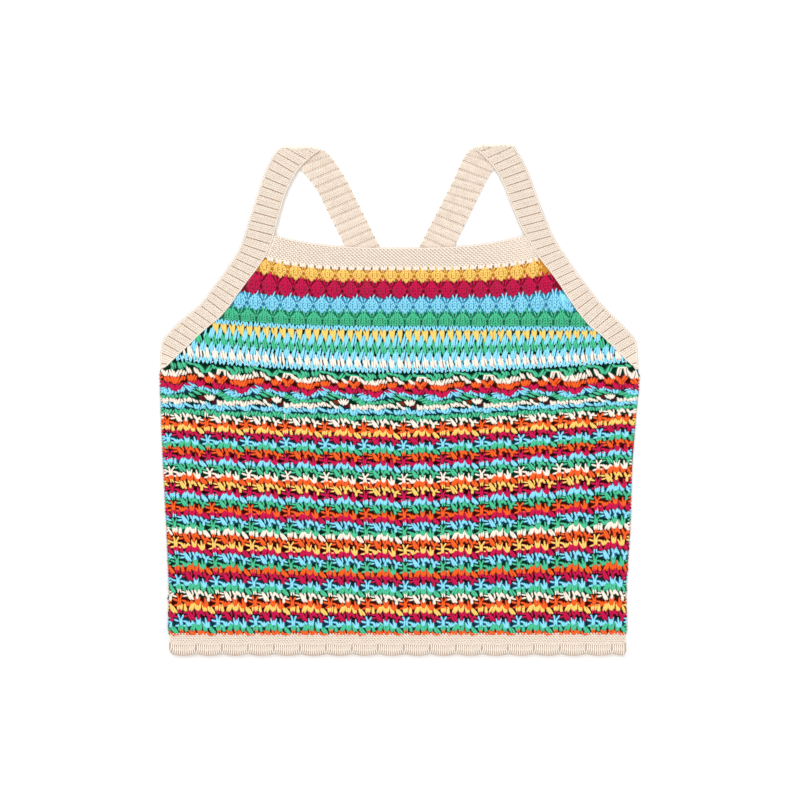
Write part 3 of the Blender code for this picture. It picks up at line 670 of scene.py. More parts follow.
ARCH_ROW = (
    Stitch(-0.050, -0.22, -0.035, 0.90, 2.0, "leaf"),
    Stitch(0.060, -0.22, 0.045, 0.90, 2.0, "leaf"),
    Stitch(0.005, -0.22, 0.005, 0.90, 1.8, "leaf"),
    Stitch(0.115, -0.12, 0.155, 1.00, 3.2, "drop"),
    Stitch(0.155, -0.22, 0.135, 0.90, 2.4, "leaf"),
    Stitch(0.245, 0.95, 0.350, -0.27, 2.8, "leaf"),
    Stitch(0.310, 1.05, 0.400, -0.32, 2.8, "leaf"),
    Stitch(0.405, -0.47, 0.450, 0.75, 2.7, "drop"),
    Stitch(0.565, -0.52, 0.515, 0.75, 2.7, "drop"),
    Stitch(0.485, -0.12, 0.485, 0.90, 2.8, "drop"),
    Stitch(0.585, -0.27, 0.660, 1.00, 3.0, "drop"),
    Stitch(0.640, -0.22, 0.700, 0.95, 2.4, "leaf"),
    Stitch(0.735, -0.12, 0.820, 1.00, 2.9, "drop"),
    Stitch(0.790, 0.18, 0.890, 1.30, 2.4, "drop", 0.0, 2),
)
LACE_ROWS = (V_ROW, STAR_ROW, ARCH_ROW)
LACE_FULLER = 1.15
CHEVRON_FULLER = 1.25
MESH_FULLER = 1.16


def star_places(u, level):
    """The places at a share u across every lace repeat, at a level."""
    share = (level - STARS_HIGH.level) / (STARS_LOW.level - STARS_HIGH.level)
    first = lerp(STARS_HIGH.first, STARS_LOW.first, share)
    pitch = lerp(STARS_HIGH.pitch, STARS_LOW.pitch, share)
    return first + (np.arange(-1, STAR_CELLS) + u) * pitch


def lay_lace(strands, under):
    for index, letter in enumerate(LACE_STRIPES):
        level = CHEVRON_END + index
        lay_chart(strands, under, YARN_OF[letter], LACE_ROWS[index % len(LACE_ROWS)], star_places, level,
                  fuller=LACE_FULLER)


SIDE_STEP = 0.5
SIDE_WIDTH = 2.3
SIDE_INSET = 2.2
SIDE_LOW = 0.9
SIDE_LEAN = 0.12
SIDE_SPREAD = 0.10


def lay_sides(strands):
    """The yarn that goes round each side, from the front to the back."""
    for level in np.arange(ARMPIT + 1.2, LACE_END - 0.3, SIDE_STEP):
        for hand, edge in zip((-1.0, 1.0), front_ends(level)):
            lean = RANDOM.normal(SIDE_LEAN, SIDE_SPREAD)
            x = np.array([edge])
            start = front_points(x - hand * SIDE_INSET, level - lean, 0.7)
            middle = front_points(x + hand * 0.1, level, 0.0)
            end = front_points(x - hand * 0.2, level + lean, 0.0)
            end[:, 2] = SIDE_LOW
            strands.add(YARN_OF[STRIPES[int(level)]], start, middle, end, SIDE_WIDTH, "arm", 0.7)


VEE_FOOT = 0.008


def vee(u, half, v0, v1, width, kind="leaf"):
    """Two strands that meet below."""
    return [Stitch(u + hand * half, v0, u + hand * VEE_FOOT, v1, width, kind) for hand in (-1.0, 1.0)]


# The chevron rows, one V to a repeat across, from the point of one V to the next

CHEVRON_GREEN_TOP = (
    Stitch(-0.12, 0.0, -0.05, 1.0, 2.4, "leaf"),
    Stitch(-0.05, 0.1, -0.02, 0.9, 2.2, "leaf"),
    Stitch(0.05, 0.0, 0.09, 1.1, 2.6, "leaf"),
    Stitch(0.11, -0.1, 0.15, 0.9, 2.4, "leaf"),
    Stitch(0.16, -0.1, 0.26, 0.3, 1.8),
    Stitch(0.27, 0.1, 0.36, 0.8, 2.2, "leaf"),
    Stitch(0.34, 0.1, 0.43, 1.7, 2.6, "drop"),
    Stitch(0.53, 0.2, 0.46, 1.7, 2.6, "drop"),
    Stitch(0.55, 0.1, 0.60, 0.9, 2.2, "leaf"),
    Stitch(0.61, 0.7, 0.75, 0.8, 1.7),
    Stitch(0.76, 0.2, 0.82, 0.9, 2.4, "leaf"),
    Stitch(0.83, 0.4, 0.88, 1.7, 2.4, "leaf"),
    Stitch(0.94, 0.5, 0.90, 1.6, 2.2, "leaf"),
)
CHEVRON_CREAM_TOP = (
    *vee(0.0, 0.05, 0.1, 1.05, 2.5, "drop"),
    Stitch(0.10, 0.1, 0.06, 0.9, 2.2, "leaf"),
    Stitch(0.14, 0.2, 0.12, 1.0, 2.3, "leaf"),
    Stitch(0.17, -0.3, 0.22, 0.8, 2.1),
    Stitch(0.28, -0.2, 0.33, 0.9, 2.1),
    Stitch(0.33, 0.4, 0.40, 1.4, 3.2, "drop"),
    Stitch(0.49, 0.4, 0.57, 1.4, 3.2, "drop"),
    Stitch(0.625, 1.0, 0.655, -0.25, 2.0),
    Stitch(0.65, -0.20, 0.74, -0.15, 2.0, "arm", -0.8),
    Stitch(0.735, -0.2, 0.765, 0.95, 2.0),
    Stitch(0.79, 0.3, 0.85, 1.3, 2.5, "leaf"),
    Stitch(0.89, 0.3, 0.86, 1.3, 2.4, "leaf"),
    Stitch(0.91, 0.2, 0.955, 1.1, 2.4, "drop"),
)
CHEVRON_ORANGE = (
    *vee(0.0, 0.075, -0.1, 1.0, 2.7, "drop"),
    Stitch(0.0, -0.1, 0.0, 0.85, 2.2, "leaf"),
    Stitch(0.125, 0.0, 0.105, 0.7, 2.3, "leaf"),
    *vee(0.24, 0.055, 0.0, 1.05, 2.7),
    Stitch(0.24, -0.1, 0.24, 0.8, 2.2, "leaf"),
    *vee(0.50, 0.055, 0.3, 1.3, 2.7),
    Stitch(0.50, 0.2, 0.50, 1.1, 2.3, "leaf"),
    Stitch(0.59, -0.05, 0.665, 0.8, 2.3),
    Stitch(0.755, -0.2, 0.685, 0.8, 2.3),
    Stitch(0.67, 0.5, 0.67, 1.25, 3.0, "drop"),
    Stitch(0.83, 0.4, 0.88, 1.0, 2.3, "leaf"),
    Stitch(0.87, 0.1, 0.925, 0.9, 2.5, "leaf"),
)
CHEVRON_MAGENTA = (
    *vee(0.0, 0.12, 0.0, 1.0, 2.6, "drop"),
    *vee(0.0, 0.05, 0.0, 0.95, 2.5),
    Stitch(0.15, 0.2, 0.23, 0.6, 1.8),
    Stitch(0.19, -0.3, 0.29, 0.3, 2.0),
    Stitch(0.33, -0.2, 0.385, 0.95, 2.4, "drop", 0.0, 2),
    Stitch(0.42, -0.2, 0.38, 0.9, 2.3, "leaf"),
    Stitch(0.45, 0.7, 0.54, 1.1, 2.2, "leaf"),
    Stitch(0.565, -0.1, 0.63, 1.15, 2.4, "drop", 0.0, 2),
    Stitch(0.71, 0.0, 0.665, 1.1, 2.3, "leaf"),
    Stitch(0.745, -0.1, 0.80, 0.9, 2.7, "drop"),
    Stitch(0.82, 0.0, 0.84, 0.9, 2.2, "leaf"),
    Stitch(0.89, 0.0, 0.93, 0.7, 2.3, "leaf"),
)
CHEVRON_FEATHERS = (
    *vee(-0.055, 0.045, -0.3, 0.8, 2.2),
    *vee(0.075, 0.045, -0.5, 0.6, 2.2),
    Stitch(0.13, -0.7, 0.245, 0.7, 1.9, "leaf"),
    Stitch(0.155, -0.9, 0.275, 0.3, 1.6, "leaf"),
    Stitch(0.19, -1.0, 0.305, -0.1, 1.5, "leaf"),
    *vee(0.395, 0.035, -0.4, 0.5, 2.1),
    Stitch(0.46, 0.0, 0.52, 0.7, 2.1, "leaf"),
    *vee(0.605, 0.04, 0.1, 1.2, 2.3),
    Stitch(0.86, -0.5, 0.73, 0.3, 1.6, "leaf"),
    Stitch(0.885, 0.0, 0.745, 0.7, 1.8, "leaf"),
    *vee(0.875, 0.045, 0.4, 1.3, 2.3),
    Stitch(0.81, 0.6, 0.79, 1.1, 2.0, "leaf"),
)
CHEVRON_FANS = (
    *vee(-0.06, 0.045, -0.1, 1.0, 2.3),
    *vee(0.06, 0.045, -0.2, 0.8, 2.3),
    Stitch(0.12, 0.1, 0.18, 0.9, 2.3, "leaf"),
    Stitch(0.20, -0.2, 0.27, 0.7, 1.9, "leaf"),
    Stitch(0.25, -0.7, 0.375, 0.35, 1.8, "leaf"),
    Stitch(0.31, -1.0, 0.415, -0.1, 1.6, "leaf"),
    Stitch(0.36, -0.8, 0.475, 0.2, 1.8, "leaf"),
    Stitch(0.50, -0.3, 0.49, 0.3, 2.0, "leaf"),
    Stitch(0.70, -0.5, 0.60, 0.2, 1.9, "leaf"),
    Stitch(0.79, -0.3, 0.655, 0.45, 1.7, "leaf"),
    Stitch(0.85, 0.1, 0.705, 0.8, 1.8, "leaf"),
    *vee(0.80, 0.05, 0.5, 1.3, 2.5),
    Stitch(0.90, 0.2, 0.88, 1.0, 2.2, "leaf"),
)
CHEVRON_CREAM_LOW = (
    Stitch(-0.085, -0.10, -0.03, 0.75, 2.3, "leaf"),
    Stitch(-0.03, -0.25, 0.015, 1.15, 2.8, "drop"),
    Stitch(0.07, -0.15, 0.035, 1.10, 2.6, "drop"),
    Stitch(0.085, 0.15, 0.125, 0.75, 2.0, "leaf"),
    Stitch(0.13, -0.20, 0.165, 0.55, 2.3, "leaf"),
    Stitch(0.215, -0.25, 0.185, 0.70, 2.4, "leaf"),
    Stitch(0.22, -0.15, 0.26, 0.65, 2.3, "leaf"),
    Stitch(0.27, 0.15, 0.315, 0.80, 2.1, "leaf"),
    Stitch(0.32, -0.30, 0.385, 0.55, 2.6, "leaf"),
    Stitch(0.37, 0.35, 0.44, 1.10, 2.2, "leaf"),
    Stitch(0.440, -0.55, 0.505, 0.30, 1.6),
    Stitch(0.475, -0.80, 0.515, 0.20, 1.6),
    Stitch(0.525, -0.85, 0.525, 0.55, 1.8, "leaf"),
    Stitch(0.565, -0.75, 0.530, 0.25, 1.6),
    Stitch(0.600, -0.50, 0.540, 0.35, 1.6),
    Stitch(0.63, 0.10, 0.665, 1.20, 3.0, "drop"),
    Stitch(0.69, 0.25, 0.70, 1.10, 2.4, "leaf"),
    Stitch(0.735, 0.10, 0.765, 0.95, 2.6, "leaf"),
    Stitch(0.805, 0.35, 0.775, 1.20, 2.2, "leaf"),
    Stitch(0.81, 0.00, 0.86, 1.10, 2.6, "leaf"),
    Stitch(0.875, -0.10, 0.895, 0.75, 2.3, "leaf"),
)
CHEVRON_BLUE_LOW = (
    Stitch(-0.09, -0.2, -0.04, 0.6, 2.1, "leaf"),
    Stitch(-0.01, -0.3, 0.02, 0.7, 2.4, "leaf"),
    *vee(0.06, 0.045, -0.2, 0.95, 2.5),
    Stitch(0.13, -0.2, 0.245, 0.6, 2.2, "leaf"),
    *vee(0.33, 0.045, 0.0, 0.95, 2.4),
    Stitch(0.41, -0.1, 0.42, 0.85, 2.3, "leaf"),
    Stitch(0.46, -0.50, 0.512, 0.75, 2.3, "leaf"),
    Stitch(0.60, 0.10, 0.528, 0.85, 2.2, "leaf"),
    Stitch(0.52, 0.3, 0.52, 0.9, 2.2, "leaf"),
    *vee(0.665, 0.045, 0.0, 1.2, 2.6),
    Stitch(0.71, -0.1, 0.80, 0.75, 2.1, "leaf"),
    Stitch(0.82, 0.0, 0.885, 0.8, 2.0, "leaf"),
)
CHEVRON_GREEN_LOW = (
    *vee(0.05, 0.05, -0.1, 0.95, 2.4),
    *vee(0.19, 0.05, -0.2, 0.8, 2.4),
    *vee(0.30, 0.04, 0.0, 0.9, 2.2),
    *vee(0.39, 0.04, 0.0, 1.0, 2.3),
    *vee(0.52, 0.06, -0.3, 0.8, 2.3),
    *vee(0.64, 0.05, 0.1, 1.2, 2.5),
    *vee(0.77, 0.05, 0.0, 0.9, 2.3),
    *vee(0.90, 0.05, 0.0, 1.0, 2.4),
)
CHEVRON_ROWS = (CHEVRON_GREEN_TOP, CHEVRON_CREAM_TOP, CHEVRON_ORANGE, CHEVRON_MAGENTA, CHEVRON_FEATHERS,
                CHEVRON_FANS, CHEVRON_CREAM_LOW, CHEVRON_BLUE_LOW, CHEVRON_GREEN_LOW)


def chevron_places(u, level):
    return CHEVRON_FIRST + (np.arange(-1, CHEVRON_COUNT) + u) * CHEVRON_PITCH


SECOND_SHIFT = 0.036
SECOND_DOWN = 0.10
SECOND_LOW = -0.4
SECOND_HIGH = 0.3


def second_places(u, level):
    """The places of the strands that show between the first ones."""
    return chevron_places(u + SECOND_SHIFT, level)


def lay_chevrons(strands, fine, under):
    for index, letter in enumerate(CHEVRON_STRIPES):
        yarn = YARN_OF[letter]
        level = MESH_END + index
        lay_chart(strands, under, yarn, CHEVRON_ROWS[index], chevron_places, level, fuller=CHEVRON_FULLER)
        lay_chart(fine, None, yarn, CHEVRON_ROWS[index], second_places, level + SECOND_DOWN,
                  low=SECOND_LOW, high=SECOND_HIGH)


# The open mesh rows, one post to a repeat across

MESH_PITCH = 7.08
MESH_POSTS = 62
MESH_ROWS = (
    (*vee(0.0, 0.22, -0.1, 1.1, 1.7), *vee(0.5, 0.22, -0.1, 1.1, 1.7)),
    (Stitch(-0.30, -0.30, -0.08, 1.05, 2.2, "leaf"), Stitch(-0.04, -0.45, 0.04, 1.35, 2.2, "leaf"),
     Stitch(0.24, -0.50, 0.13, 1.60, 2.8, "tail")),
    (Stitch(0.46, -0.30, 0.14, 1.25, 1.8, "arm"), Stitch(0.64, -0.70, 0.38, 1.30, 1.9),
     Stitch(0.90, -0.45, 0.60, 1.05, 1.7, "arm")),
    (Stitch(-0.42, -0.35, -0.04, 1.20, 1.8, "arm"), Stitch(-0.22, -0.65, 0.18, 1.35, 1.9),
     Stitch(0.04, -0.55, 0.42, 1.00, 1.7, "arm")),
    (Stitch(0.44, -0.35, 0.10, 1.20, 1.8, "arm"), Stitch(0.64, -0.70, 0.32, 1.35, 1.9),
     Stitch(0.90, -0.50, 0.53, 1.50, 1.8, "arm")),
    (Stitch(-0.38, -0.30, -0.16, 1.05, 1.9), Stitch(-0.16, -0.60, 0.08, 1.20, 2.1),
     Stitch(0.08, -0.40, 0.34, 1.00, 1.9)),
    (*vee(0.0, 0.22, -0.2, 1.0, 1.9), *vee(0.5, 0.15, -0.65, 1.0, 1.9)),
)
MESH_FLECKS = (Stitch(0.17, 0.0, 0.30, 0.35, 1.1), Stitch(0.74, 0.45, 0.62, 0.7, 1.0))


def mesh_places(u, level):
    return MIDDLE_X + (np.arange(MESH_POSTS) - MESH_POSTS / 2.0 + u) * MESH_PITCH


def lay_mesh(strands):
    for index, letter in enumerate(MESH_STRIPES):
        lay_chart(strands, None, YARN_OF[letter], MESH_ROWS[index], mesh_places, YOKE_END + index, jitter=0.4,
                  fuller=MESH_FULLER)
    lay_chart(strands, None, "cream", MESH_FLECKS, mesh_places, MESH_END - 1.0, low=0.9, high=1.3, jitter=0.3)


# The bobbles: a low dome with small V's laid over it in rows, arms on top and threads between

BobbleRow = namedtuple("BobbleRow", "first_x last_x count")
BOBBLE_ROWS = (
    BobbleRow(-114.1, 112.3, 18),
    BobbleRow(-123.6, 123.1, 19),
    BobbleRow(-135.6, 144.6, 21),
    BobbleRow(-141.7, 150.7, 22),
)
BOBBLE_HEIGHT = 3.0
BOBBLE_MIDDLE = 0.12
BOBBLE_REACH = 0.88
BOBBLE_INSET = 0.9
BOBBLE_JITTER = 0.03
BOBBLE_CROWN = 0.12
DOME_INSET = 4.2
DOME_WIDTH = 11.6
DOME_TOP = -0.74
DOME_CHIN = 0.98
DOME_LIFT = 0.2
DOME_ROUND = 0.34
STROKE_ROWS = 5
STROKES_TOP = -0.62
STROKES_LOW = 0.76
STROKE_PITCH = 0.29
STROKE_REACH = 0.88
STROKE_NARROW = 0.54
STROKE_FLAT_REACH = 0.95
STROKE_WIDTH = 2.35
STROKE_ROUND = 0.60
FLAT_BOTTOM_ROW = 3

# Strands on every bobble, from share 0 to share 1 across and down it. Shares across go from centre,
# which is 0 on the bobble and 1 between two, to the side of each hand.
BobbleStrand = namedtuple("BobbleStrand", "centre across0 down0 across1 down1 width kind lift")
BOBBLE_ARMS = (
    BobbleStrand(0.0, 0.32, -1.42, 0.05, -0.62, 1.8, "arm", 0.5),
    BobbleStrand(1.0, 0.36, -1.15, 0.07, -0.30, 1.9, "leaf", 0.2),
    BobbleStrand(0.0, 0.10, -0.72, 0.90, 0.05, 1.4, "arm", 0.0),
)
FLAT_CHIN = (BobbleStrand(0.0, 0.10, -0.62, 0.90, 0.20, 1.3, "arm", 0.35),)
ROUND_CHIN = (
    BobbleStrand(0.0, 0.86, 0.02, 0.36, 0.80, 1.3, "arm", 0.0),
    BobbleStrand(0.0, 0.26, 0.60, 0.11, 1.16, 1.7, "leaf", 0.7),
    BobbleStrand(1.0, 0.16, 0.35, 0.03, 0.92, 1.5, "drop", 0.3),
)
BOBBLE_LINKS = (
    BobbleStrand(0.0, 0.78, -0.28, 1.22, 0.12, 1.2, "arm", 0.1),
    BobbleStrand(0.0, 0.78, 0.12, 1.22, -0.28, 1.2, "arm", 0.1),
)
BOBBLE_TIP = (BobbleStrand(0.0, 0.0, 0.62, 0.0, 1.22, 1.8, "leaf", 0.9),)


def bobble_height(across, down):
    """The dome's height at a share across and down it, both from -1 to 1."""
    away = np.abs(across) ** 1.5 + np.abs((down - BOBBLE_MIDDLE) / BOBBLE_REACH) ** 1.5
    return BOBBLE_HEIGHT * np.sqrt(np.clip(1.0 - away, 0.0, 1.0))


def bobble_points(row, index, across, down, lift, inset=BOBBLE_INSET):
    """Points on every bobble of a row, as shares across and down, no nearer to the bands than inset."""
    pitch = (row.last_x - row.first_x) / (row.count - 1)
    centres = row.first_x + np.arange(row.count) * pitch
    across = np.broadcast_to(across, (row.count,))
    level = np.broadcast_to(index + 0.5 + down / 2.0, (row.count,))
    left, right = front_ends(level)
    return front_points(np.clip(centres + across * pitch / 2.0, left + inset, right - inset), level, lift)


def lay_bobble_strand(strands, yarn, row, index, strand, hand, thickness=ROUND):
    """One strand on every bobble of a row, on the side of its hand."""
    jitter = RANDOM.normal(0.0, BOBBLE_JITTER, (4, row.count))
    across = [strand.centre + hand * side for side in (strand.across0, strand.across1)]
    down = (strand.down0, strand.down1)
    ends = [bobble_points(row, index, across[end] + jitter[end * 2], down[end] + jitter[end * 2 + 1],
                          bobble_height(across[end], down[end]) + strand.lift) for end in (0, 1)]
    middle_across, middle_down = sum(across) / 2.0, sum(down) / 2.0
    height = bobble_height(middle_across, middle_down) + strand.lift + strand.width * BOBBLE_CROWN
    middle = bobble_points(row, index, middle_across, middle_down, height)
    left, right = front_ends(index + 0.5 + middle_down / 2.0)
    keep = (middle[:, 0] > left + BOBBLE_INSET) & (middle[:, 0] < right - BOBBLE_INSET)
    strands.add(yarn, ends[0][keep], middle[keep], ends[1][keep], strand.width, strand.kind, thickness)


def bobble_strokes(flat_bottom):
    """The small strokes on one bobble, in columns that slant by turns, each with its hand."""
    strokes = []
    for down in np.linspace(STROKES_TOP, STROKES_LOW, STROKE_ROWS):
        reach = STROKE_REACH - STROKE_NARROW * abs((down - BOBBLE_MIDDLE) / BOBBLE_REACH) ** 1.6
        if flat_bottom and down > BOBBLE_MIDDLE:
            reach = STROKE_FLAT_REACH
        count = max(2, 2 * int(round(reach / STROKE_PITCH)))
        for place in range(count):
            across = (place - (count - 1) / 2.0) * reach * 2.0 / count
            width = STROKE_WIDTH - 0.35 * across ** 2
            stroke = BobbleStrand(across, -0.12, down - 0.21, 0.08, down + 0.20, width, "bead", 0.10)
            strokes.append((stroke, 1.0 if place % 2 else -1.0))
    return strokes


def lay_bobbles(strands, fine, domes):
    for index, (row, letter) in enumerate(zip(BOBBLE_ROWS, YOKE_STRIPES)):
        yarn = YARN_OF[letter]
        flat = index == FLAT_BOTTOM_ROW
        top = bobble_points(row, index, 0.0, DOME_TOP, 0.0, DOME_INSET)
        centre = bobble_points(row, index, 0.0, BOBBLE_MIDDLE, BOBBLE_HEIGHT * DOME_LIFT, DOME_INSET)
        chin = bobble_points(row, index, 0.0, DOME_CHIN, 0.0, DOME_INSET)
        left, right = front_ends(index + 0.5 + BOBBLE_MIDDLE / 2.0)
        room = np.minimum(centre[:, 0] - left, right - centre[:, 0])
        domes.add(yarn, top, centre, chin, np.minimum(DOME_WIDTH, room * 2.0 + 1.0), "dome", DOME_ROUND)
        for stroke, hand in bobble_strokes(flat):
            lay_bobble_strand(fine, yarn, row, index, stroke, hand, STROKE_ROUND)
        for hand in (-1.0, 1.0):
            for strand in BOBBLE_ARMS + (FLAT_CHIN if flat else ROUND_CHIN):
                lay_bobble_strand(strands, yarn, row, index, strand, hand)
        for strand in BOBBLE_LINKS if flat else BOBBLE_LINKS + BOBBLE_TIP:
            lay_bobble_strand(strands, yarn, row, index, strand, 1.0)


# The neckband and hem: seed stitch in a lattice of small slanting strands

SEED_DOWN = 1.4
SEED_WIDTH = 2.3
SEED_BASE = BAND_TOP - 0.8
SEED_REACH = 0.36
SEED_FIRST = 0.30
SEED_LAST = 0.70
SEED_CROWN = 0.40
SEED_SPILL = 0.2
SEED_JITTER = 0.08
SEED_INSET = 0.8
NECK_SEED_ACROSS = 3.3
NECK_SEED_ROWS = 12
NECK_SEED_Z = SEED_BASE + 0.1
HEM_SEED_ACROSS = 2.5
HEM_SEED_Z = SEED_BASE - 0.2
HEM_SEED_END = 0.45
HEM_EDGE_Z = FRONT_FLOOR + 0.3
FLUTES_TO_A_SCALLOP = 12
FLUTE_CROWN = 0.4
FLUTE_BOW = 2.5
FLUTE_WIDTH = 1.95
TAB_PITCH = 6.84
TAB_DROP = 2.4
TAB_STRANDS = (-0.28, -0.09, 0.10, 0.29)
TAB_HEIGHT = 5.0
TAB_TOP = 0.90
TAB_CROWN = 0.25
TAB_WIDTH = 2.1
TABS_TO_A_SIDE = 16


def lay_seed(knit, point_at, left, right, row, pitch):
    """One row of seed stitch. point_at(x, row) gives points at a row number from the top."""
    first_x = MIDDLE_X + pitch * 0.5 * (row % 2)
    first_step = math.ceil((left - first_x) / pitch - SEED_SPILL)
    last_step = math.floor((right - first_x) / pitch + SEED_SPILL)
    x = first_x + np.arange(first_step, last_step + 1) * pitch
    jitter = RANDOM.normal(0.0, SEED_JITTER, (2, len(x)))
    first = point_at(np.maximum(x - pitch * SEED_REACH + jitter[0], left), row + SEED_FIRST)
    last = point_at(np.minimum(x + pitch * SEED_REACH + jitter[1], right), row + SEED_LAST)
    knit.add("cream", first, raised(first, last, SEED_CROWN), last, SEED_WIDTH, "bead", 0.7)


# Materials

PLY_PITCH = 2.2
# PLY_TONE is how much painted shade darkens the plies' grooves, and also how high their bump is
PLY_TONE = 0.30
UNEVEN_TONE = 0.5
UNEVEN_SCALE = 220.0
FIBRE_SCALE = 1500.0
GAMMA = 2.2


def linear(color, shade):
    """A shaded colour of 0 to 255 as the shader's own linear numbers."""
    return [(value / 255.0) ** GAMMA * shade for value in color]


def add_node(tree, kind, **values):
    node = tree.nodes.new(kind)
    for name, value in values.items():
        setattr(node, name, value)
    return node


def math_node(tree, operation, *values):
    """The result of a math node on numbers and sockets."""
    node = add_node(tree, "ShaderNodeMath", operation=operation)
    for socket, value in zip(node.inputs, values):
        if isinstance(value, bpy.types.NodeSocket):
            tree.links.new(value, socket)
        else:
            socket.default_value = value
    return node.outputs[0]


def noise_node(tree, place, scale, detail):
    node = add_node(tree, "ShaderNodeTexNoise")
    node.inputs["Scale"].default_value = scale
    node.inputs["Detail"].default_value = detail
    tree.links.new(place, node.inputs["Vector"])
    return node.outputs["Fac"]


def mix_nodes(tree, factor, first, second):
    """A colour mixed between two by a factor socket."""
    node = add_node(tree, "ShaderNodeMix", data_type="RGBA")
    tree.links.new(factor, node.inputs["Factor"])
    ends = [socket for socket in node.inputs if socket.type == "RGBA"]
    for socket, color in zip(ends, (first, second)):
        socket.default_value = (*color, 1.0)
    return [socket for socket in node.outputs if socket.type == "RGBA"][0]


def yarn_material(name, colors, shade=1.0, flat=False):
    """Twisted cotton yarn: a soft sheen, fine fibres, plies that wind round, and slight unevenness.
    Its colour holds painted light on each strand's crest, and painted shade down its sides and in the
    plies' grooves; shade darkens all of it as painted shade. flat is for yarn in the shade, which shows
    its side's colour all over."""
    material = bpy.data.materials.new(name)
    material.use_nodes = True
    tree = material.node_tree
    shader = tree.nodes["Principled BSDF"]
    shader.inputs["Roughness"].default_value = 0.78
    shader.inputs["Sheen Weight"].default_value = 0.10 * shade
    shader.inputs["Sheen Roughness"].default_value = 0.45
    shader.inputs["Specular IOR Level"].default_value = 0.18 * shade
    place = add_node(tree, "ShaderNodeTexCoord").outputs["Object"]
    yarn = add_node(tree, "ShaderNodeAttribute", attribute_name="yarn")
    parts = add_node(tree, "ShaderNodeSeparateXYZ")
    tree.links.new(yarn.outputs["Vector"], parts.inputs["Vector"])
    along, around = parts.outputs["X"], parts.outputs["Y"]
    # Painted light and shade: the colour is lighter on a strand's crest and darker down its sides
    crown = math_node(tree, "SINE", math_node(tree, "MULTIPLY", around, 2.0 * math.pi))
    wound = math_node(tree, "MULTIPLY", along, 2.0 * math.pi / PLY_PITCH)
    # The plies: painted shade in their grooves, and the same wave bumps the surface below
    ply = math_node(tree, "SINE", math_node(tree, "MULTIPLY_ADD", around, 4.0 * math.pi, wound))
    uneven = noise_node(tree, place, UNEVEN_SCALE, 3.0)
    uneven_and_painted_shade = math_node(tree, "MULTIPLY_ADD", uneven, UNEVEN_TONE, crown)
    tone = add_node(tree, "ShaderNodeMapRange")
    tone.inputs["From Min"].default_value = 0.15
    tone.inputs["From Max"].default_value = 1.15
    tree.links.new(math_node(tree, "MULTIPLY_ADD", ply, PLY_TONE, uneven_and_painted_shade), tone.inputs["Value"])
    deep = linear(colors.side, shade)
    light = deep if flat else linear(colors.crest, shade)
    tree.links.new(mix_nodes(tree, tone.outputs["Result"], deep, light), shader.inputs["Base Color"])
    fibre = noise_node(tree, place, FIBRE_SCALE, 2.0)
    bump = add_node(tree, "ShaderNodeBump")
    bump.inputs["Strength"].default_value = 0.35
    bump.inputs["Distance"].default_value = 0.35 * MM
    tree.links.new(math_node(tree, "MULTIPLY_ADD", ply, PLY_TONE, fibre), bump.inputs["Height"])
    tree.links.new(bump.outputs["Normal"], shader.inputs["Normal"])
    return material


# The cloth pieces. A sheet is a pair of grids, its outer and inner side, and a tone of painted light and
# shade for each point.

def tone_marks(tone, shape):
    """The yarn attribute of a sheet's points, which the material reads as a place round a strand: a tone of 1
    is painted light as on a crest, 0 is painted shade as down a side.
    """
    around = np.arcsin(np.broadcast_to(tone, shape)) / (2.0 * math.pi)
    return np.stack((np.zeros_like(around), around, np.zeros_like(around)), axis=-1)


def back_sheet(name, sides):
    """A plain sheet from its upper and lower side."""
    return closed_sheet(name, *sides, marks=tone_marks(BACK_TONE, sides[0].shape[:2])), sides[0]


def laid_sides(x, y):
    """The upper and lower side of a cloth that lies flat on the floor."""
    return [np.stack((x, y, np.full(x.shape, z)), axis=-1) for z in (WALL, 0.0)]


def neck_top_y(x):
    left = inner_edge_x(BAND_LEFT, NECK_TOP_SIDE) + BAND_GAP
    right = inner_edge_x(BAND_RIGHT, NECK_TOP_SIDE) - BAND_GAP
    share = np.where(x < MIDDLE_X, (x - MIDDLE_X) / (left - MIDDLE_X), (x - MIDDLE_X) / (right - MIDDLE_X))
    return lerp(NECK_TOP_MID, NECK_TOP_SIDE, np.abs(share) ** NECK_TOP_BEND)


def neck_sides(share):
    """The neckband's two ends at a share of the way down it."""
    y_left = lerp(NECK_TOP_SIDE, COURSE_TABLE[1][0] + SEAM, share)
    y_right = lerp(NECK_TOP_SIDE, COURSE_TABLE[3][0] + SEAM, share)
    return inner_edge_x(BAND_LEFT, y_left) + BAND_GAP, inner_edge_x(BAND_RIGHT, y_right) - BAND_GAP


def neck_points(x, share, z):
    y = lerp(neck_top_y(x), front_y(x, 0.0) + SEAM, share)
    return np.stack(np.broadcast_arrays(x, y, z), axis=-1)


def make_neckband(knit):
    shares = np.linspace(0.0, 1.0, 9)
    lefts, rights = neck_sides(shares)
    x = lerp(lefts[:, None], rights[:, None], np.linspace(0.0, 1.0, CLOTH_COLUMNS)[None])
    outer = neck_points(x, shares[:, None], SEED_BASE)
    inner = neck_points(x, shares[:, None], FRONT_UNDER)
    obj = closed_sheet("neckband_cloth", outer, inner, marks=tone_marks(NECK_TONE, x.shape))
    for row in range(NECK_SEED_ROWS):
        left, right = neck_sides((row + 0.5) / NECK_SEED_ROWS)
        lay_seed(knit, lambda x, at: neck_points(x, at / NECK_SEED_ROWS, NECK_SEED_Z),
                 left + SEED_INSET, right - SEED_INSET, row, NECK_SEED_ACROSS)
    lay_neck_tabs(knit)
    return obj, outer


def lay_neck_tabs(knit):
    """The neckband's last row, which ends in small tabs over the first bobbles."""
    left, right = neck_sides(1.0)
    for tab in np.arange(MIDDLE_X - TABS_TO_A_SIDE * TAB_PITCH, right, TAB_PITCH):
        for offset in TAB_STRANDS:
            x = np.array([tab + offset * TAB_PITCH])
            if not left + SEED_INSET < x[0] < right - SEED_INSET:
                continue
            top = neck_points(x, TAB_TOP, NECK_SEED_Z)
            low = np.stack((x, front_y(x, 0.0) - TAB_DROP, np.full(1, TAB_HEIGHT)), axis=-1)
            knit.add("cream", top, raised(top, low, TAB_CROWN), low, TAB_WIDTH, "drop")


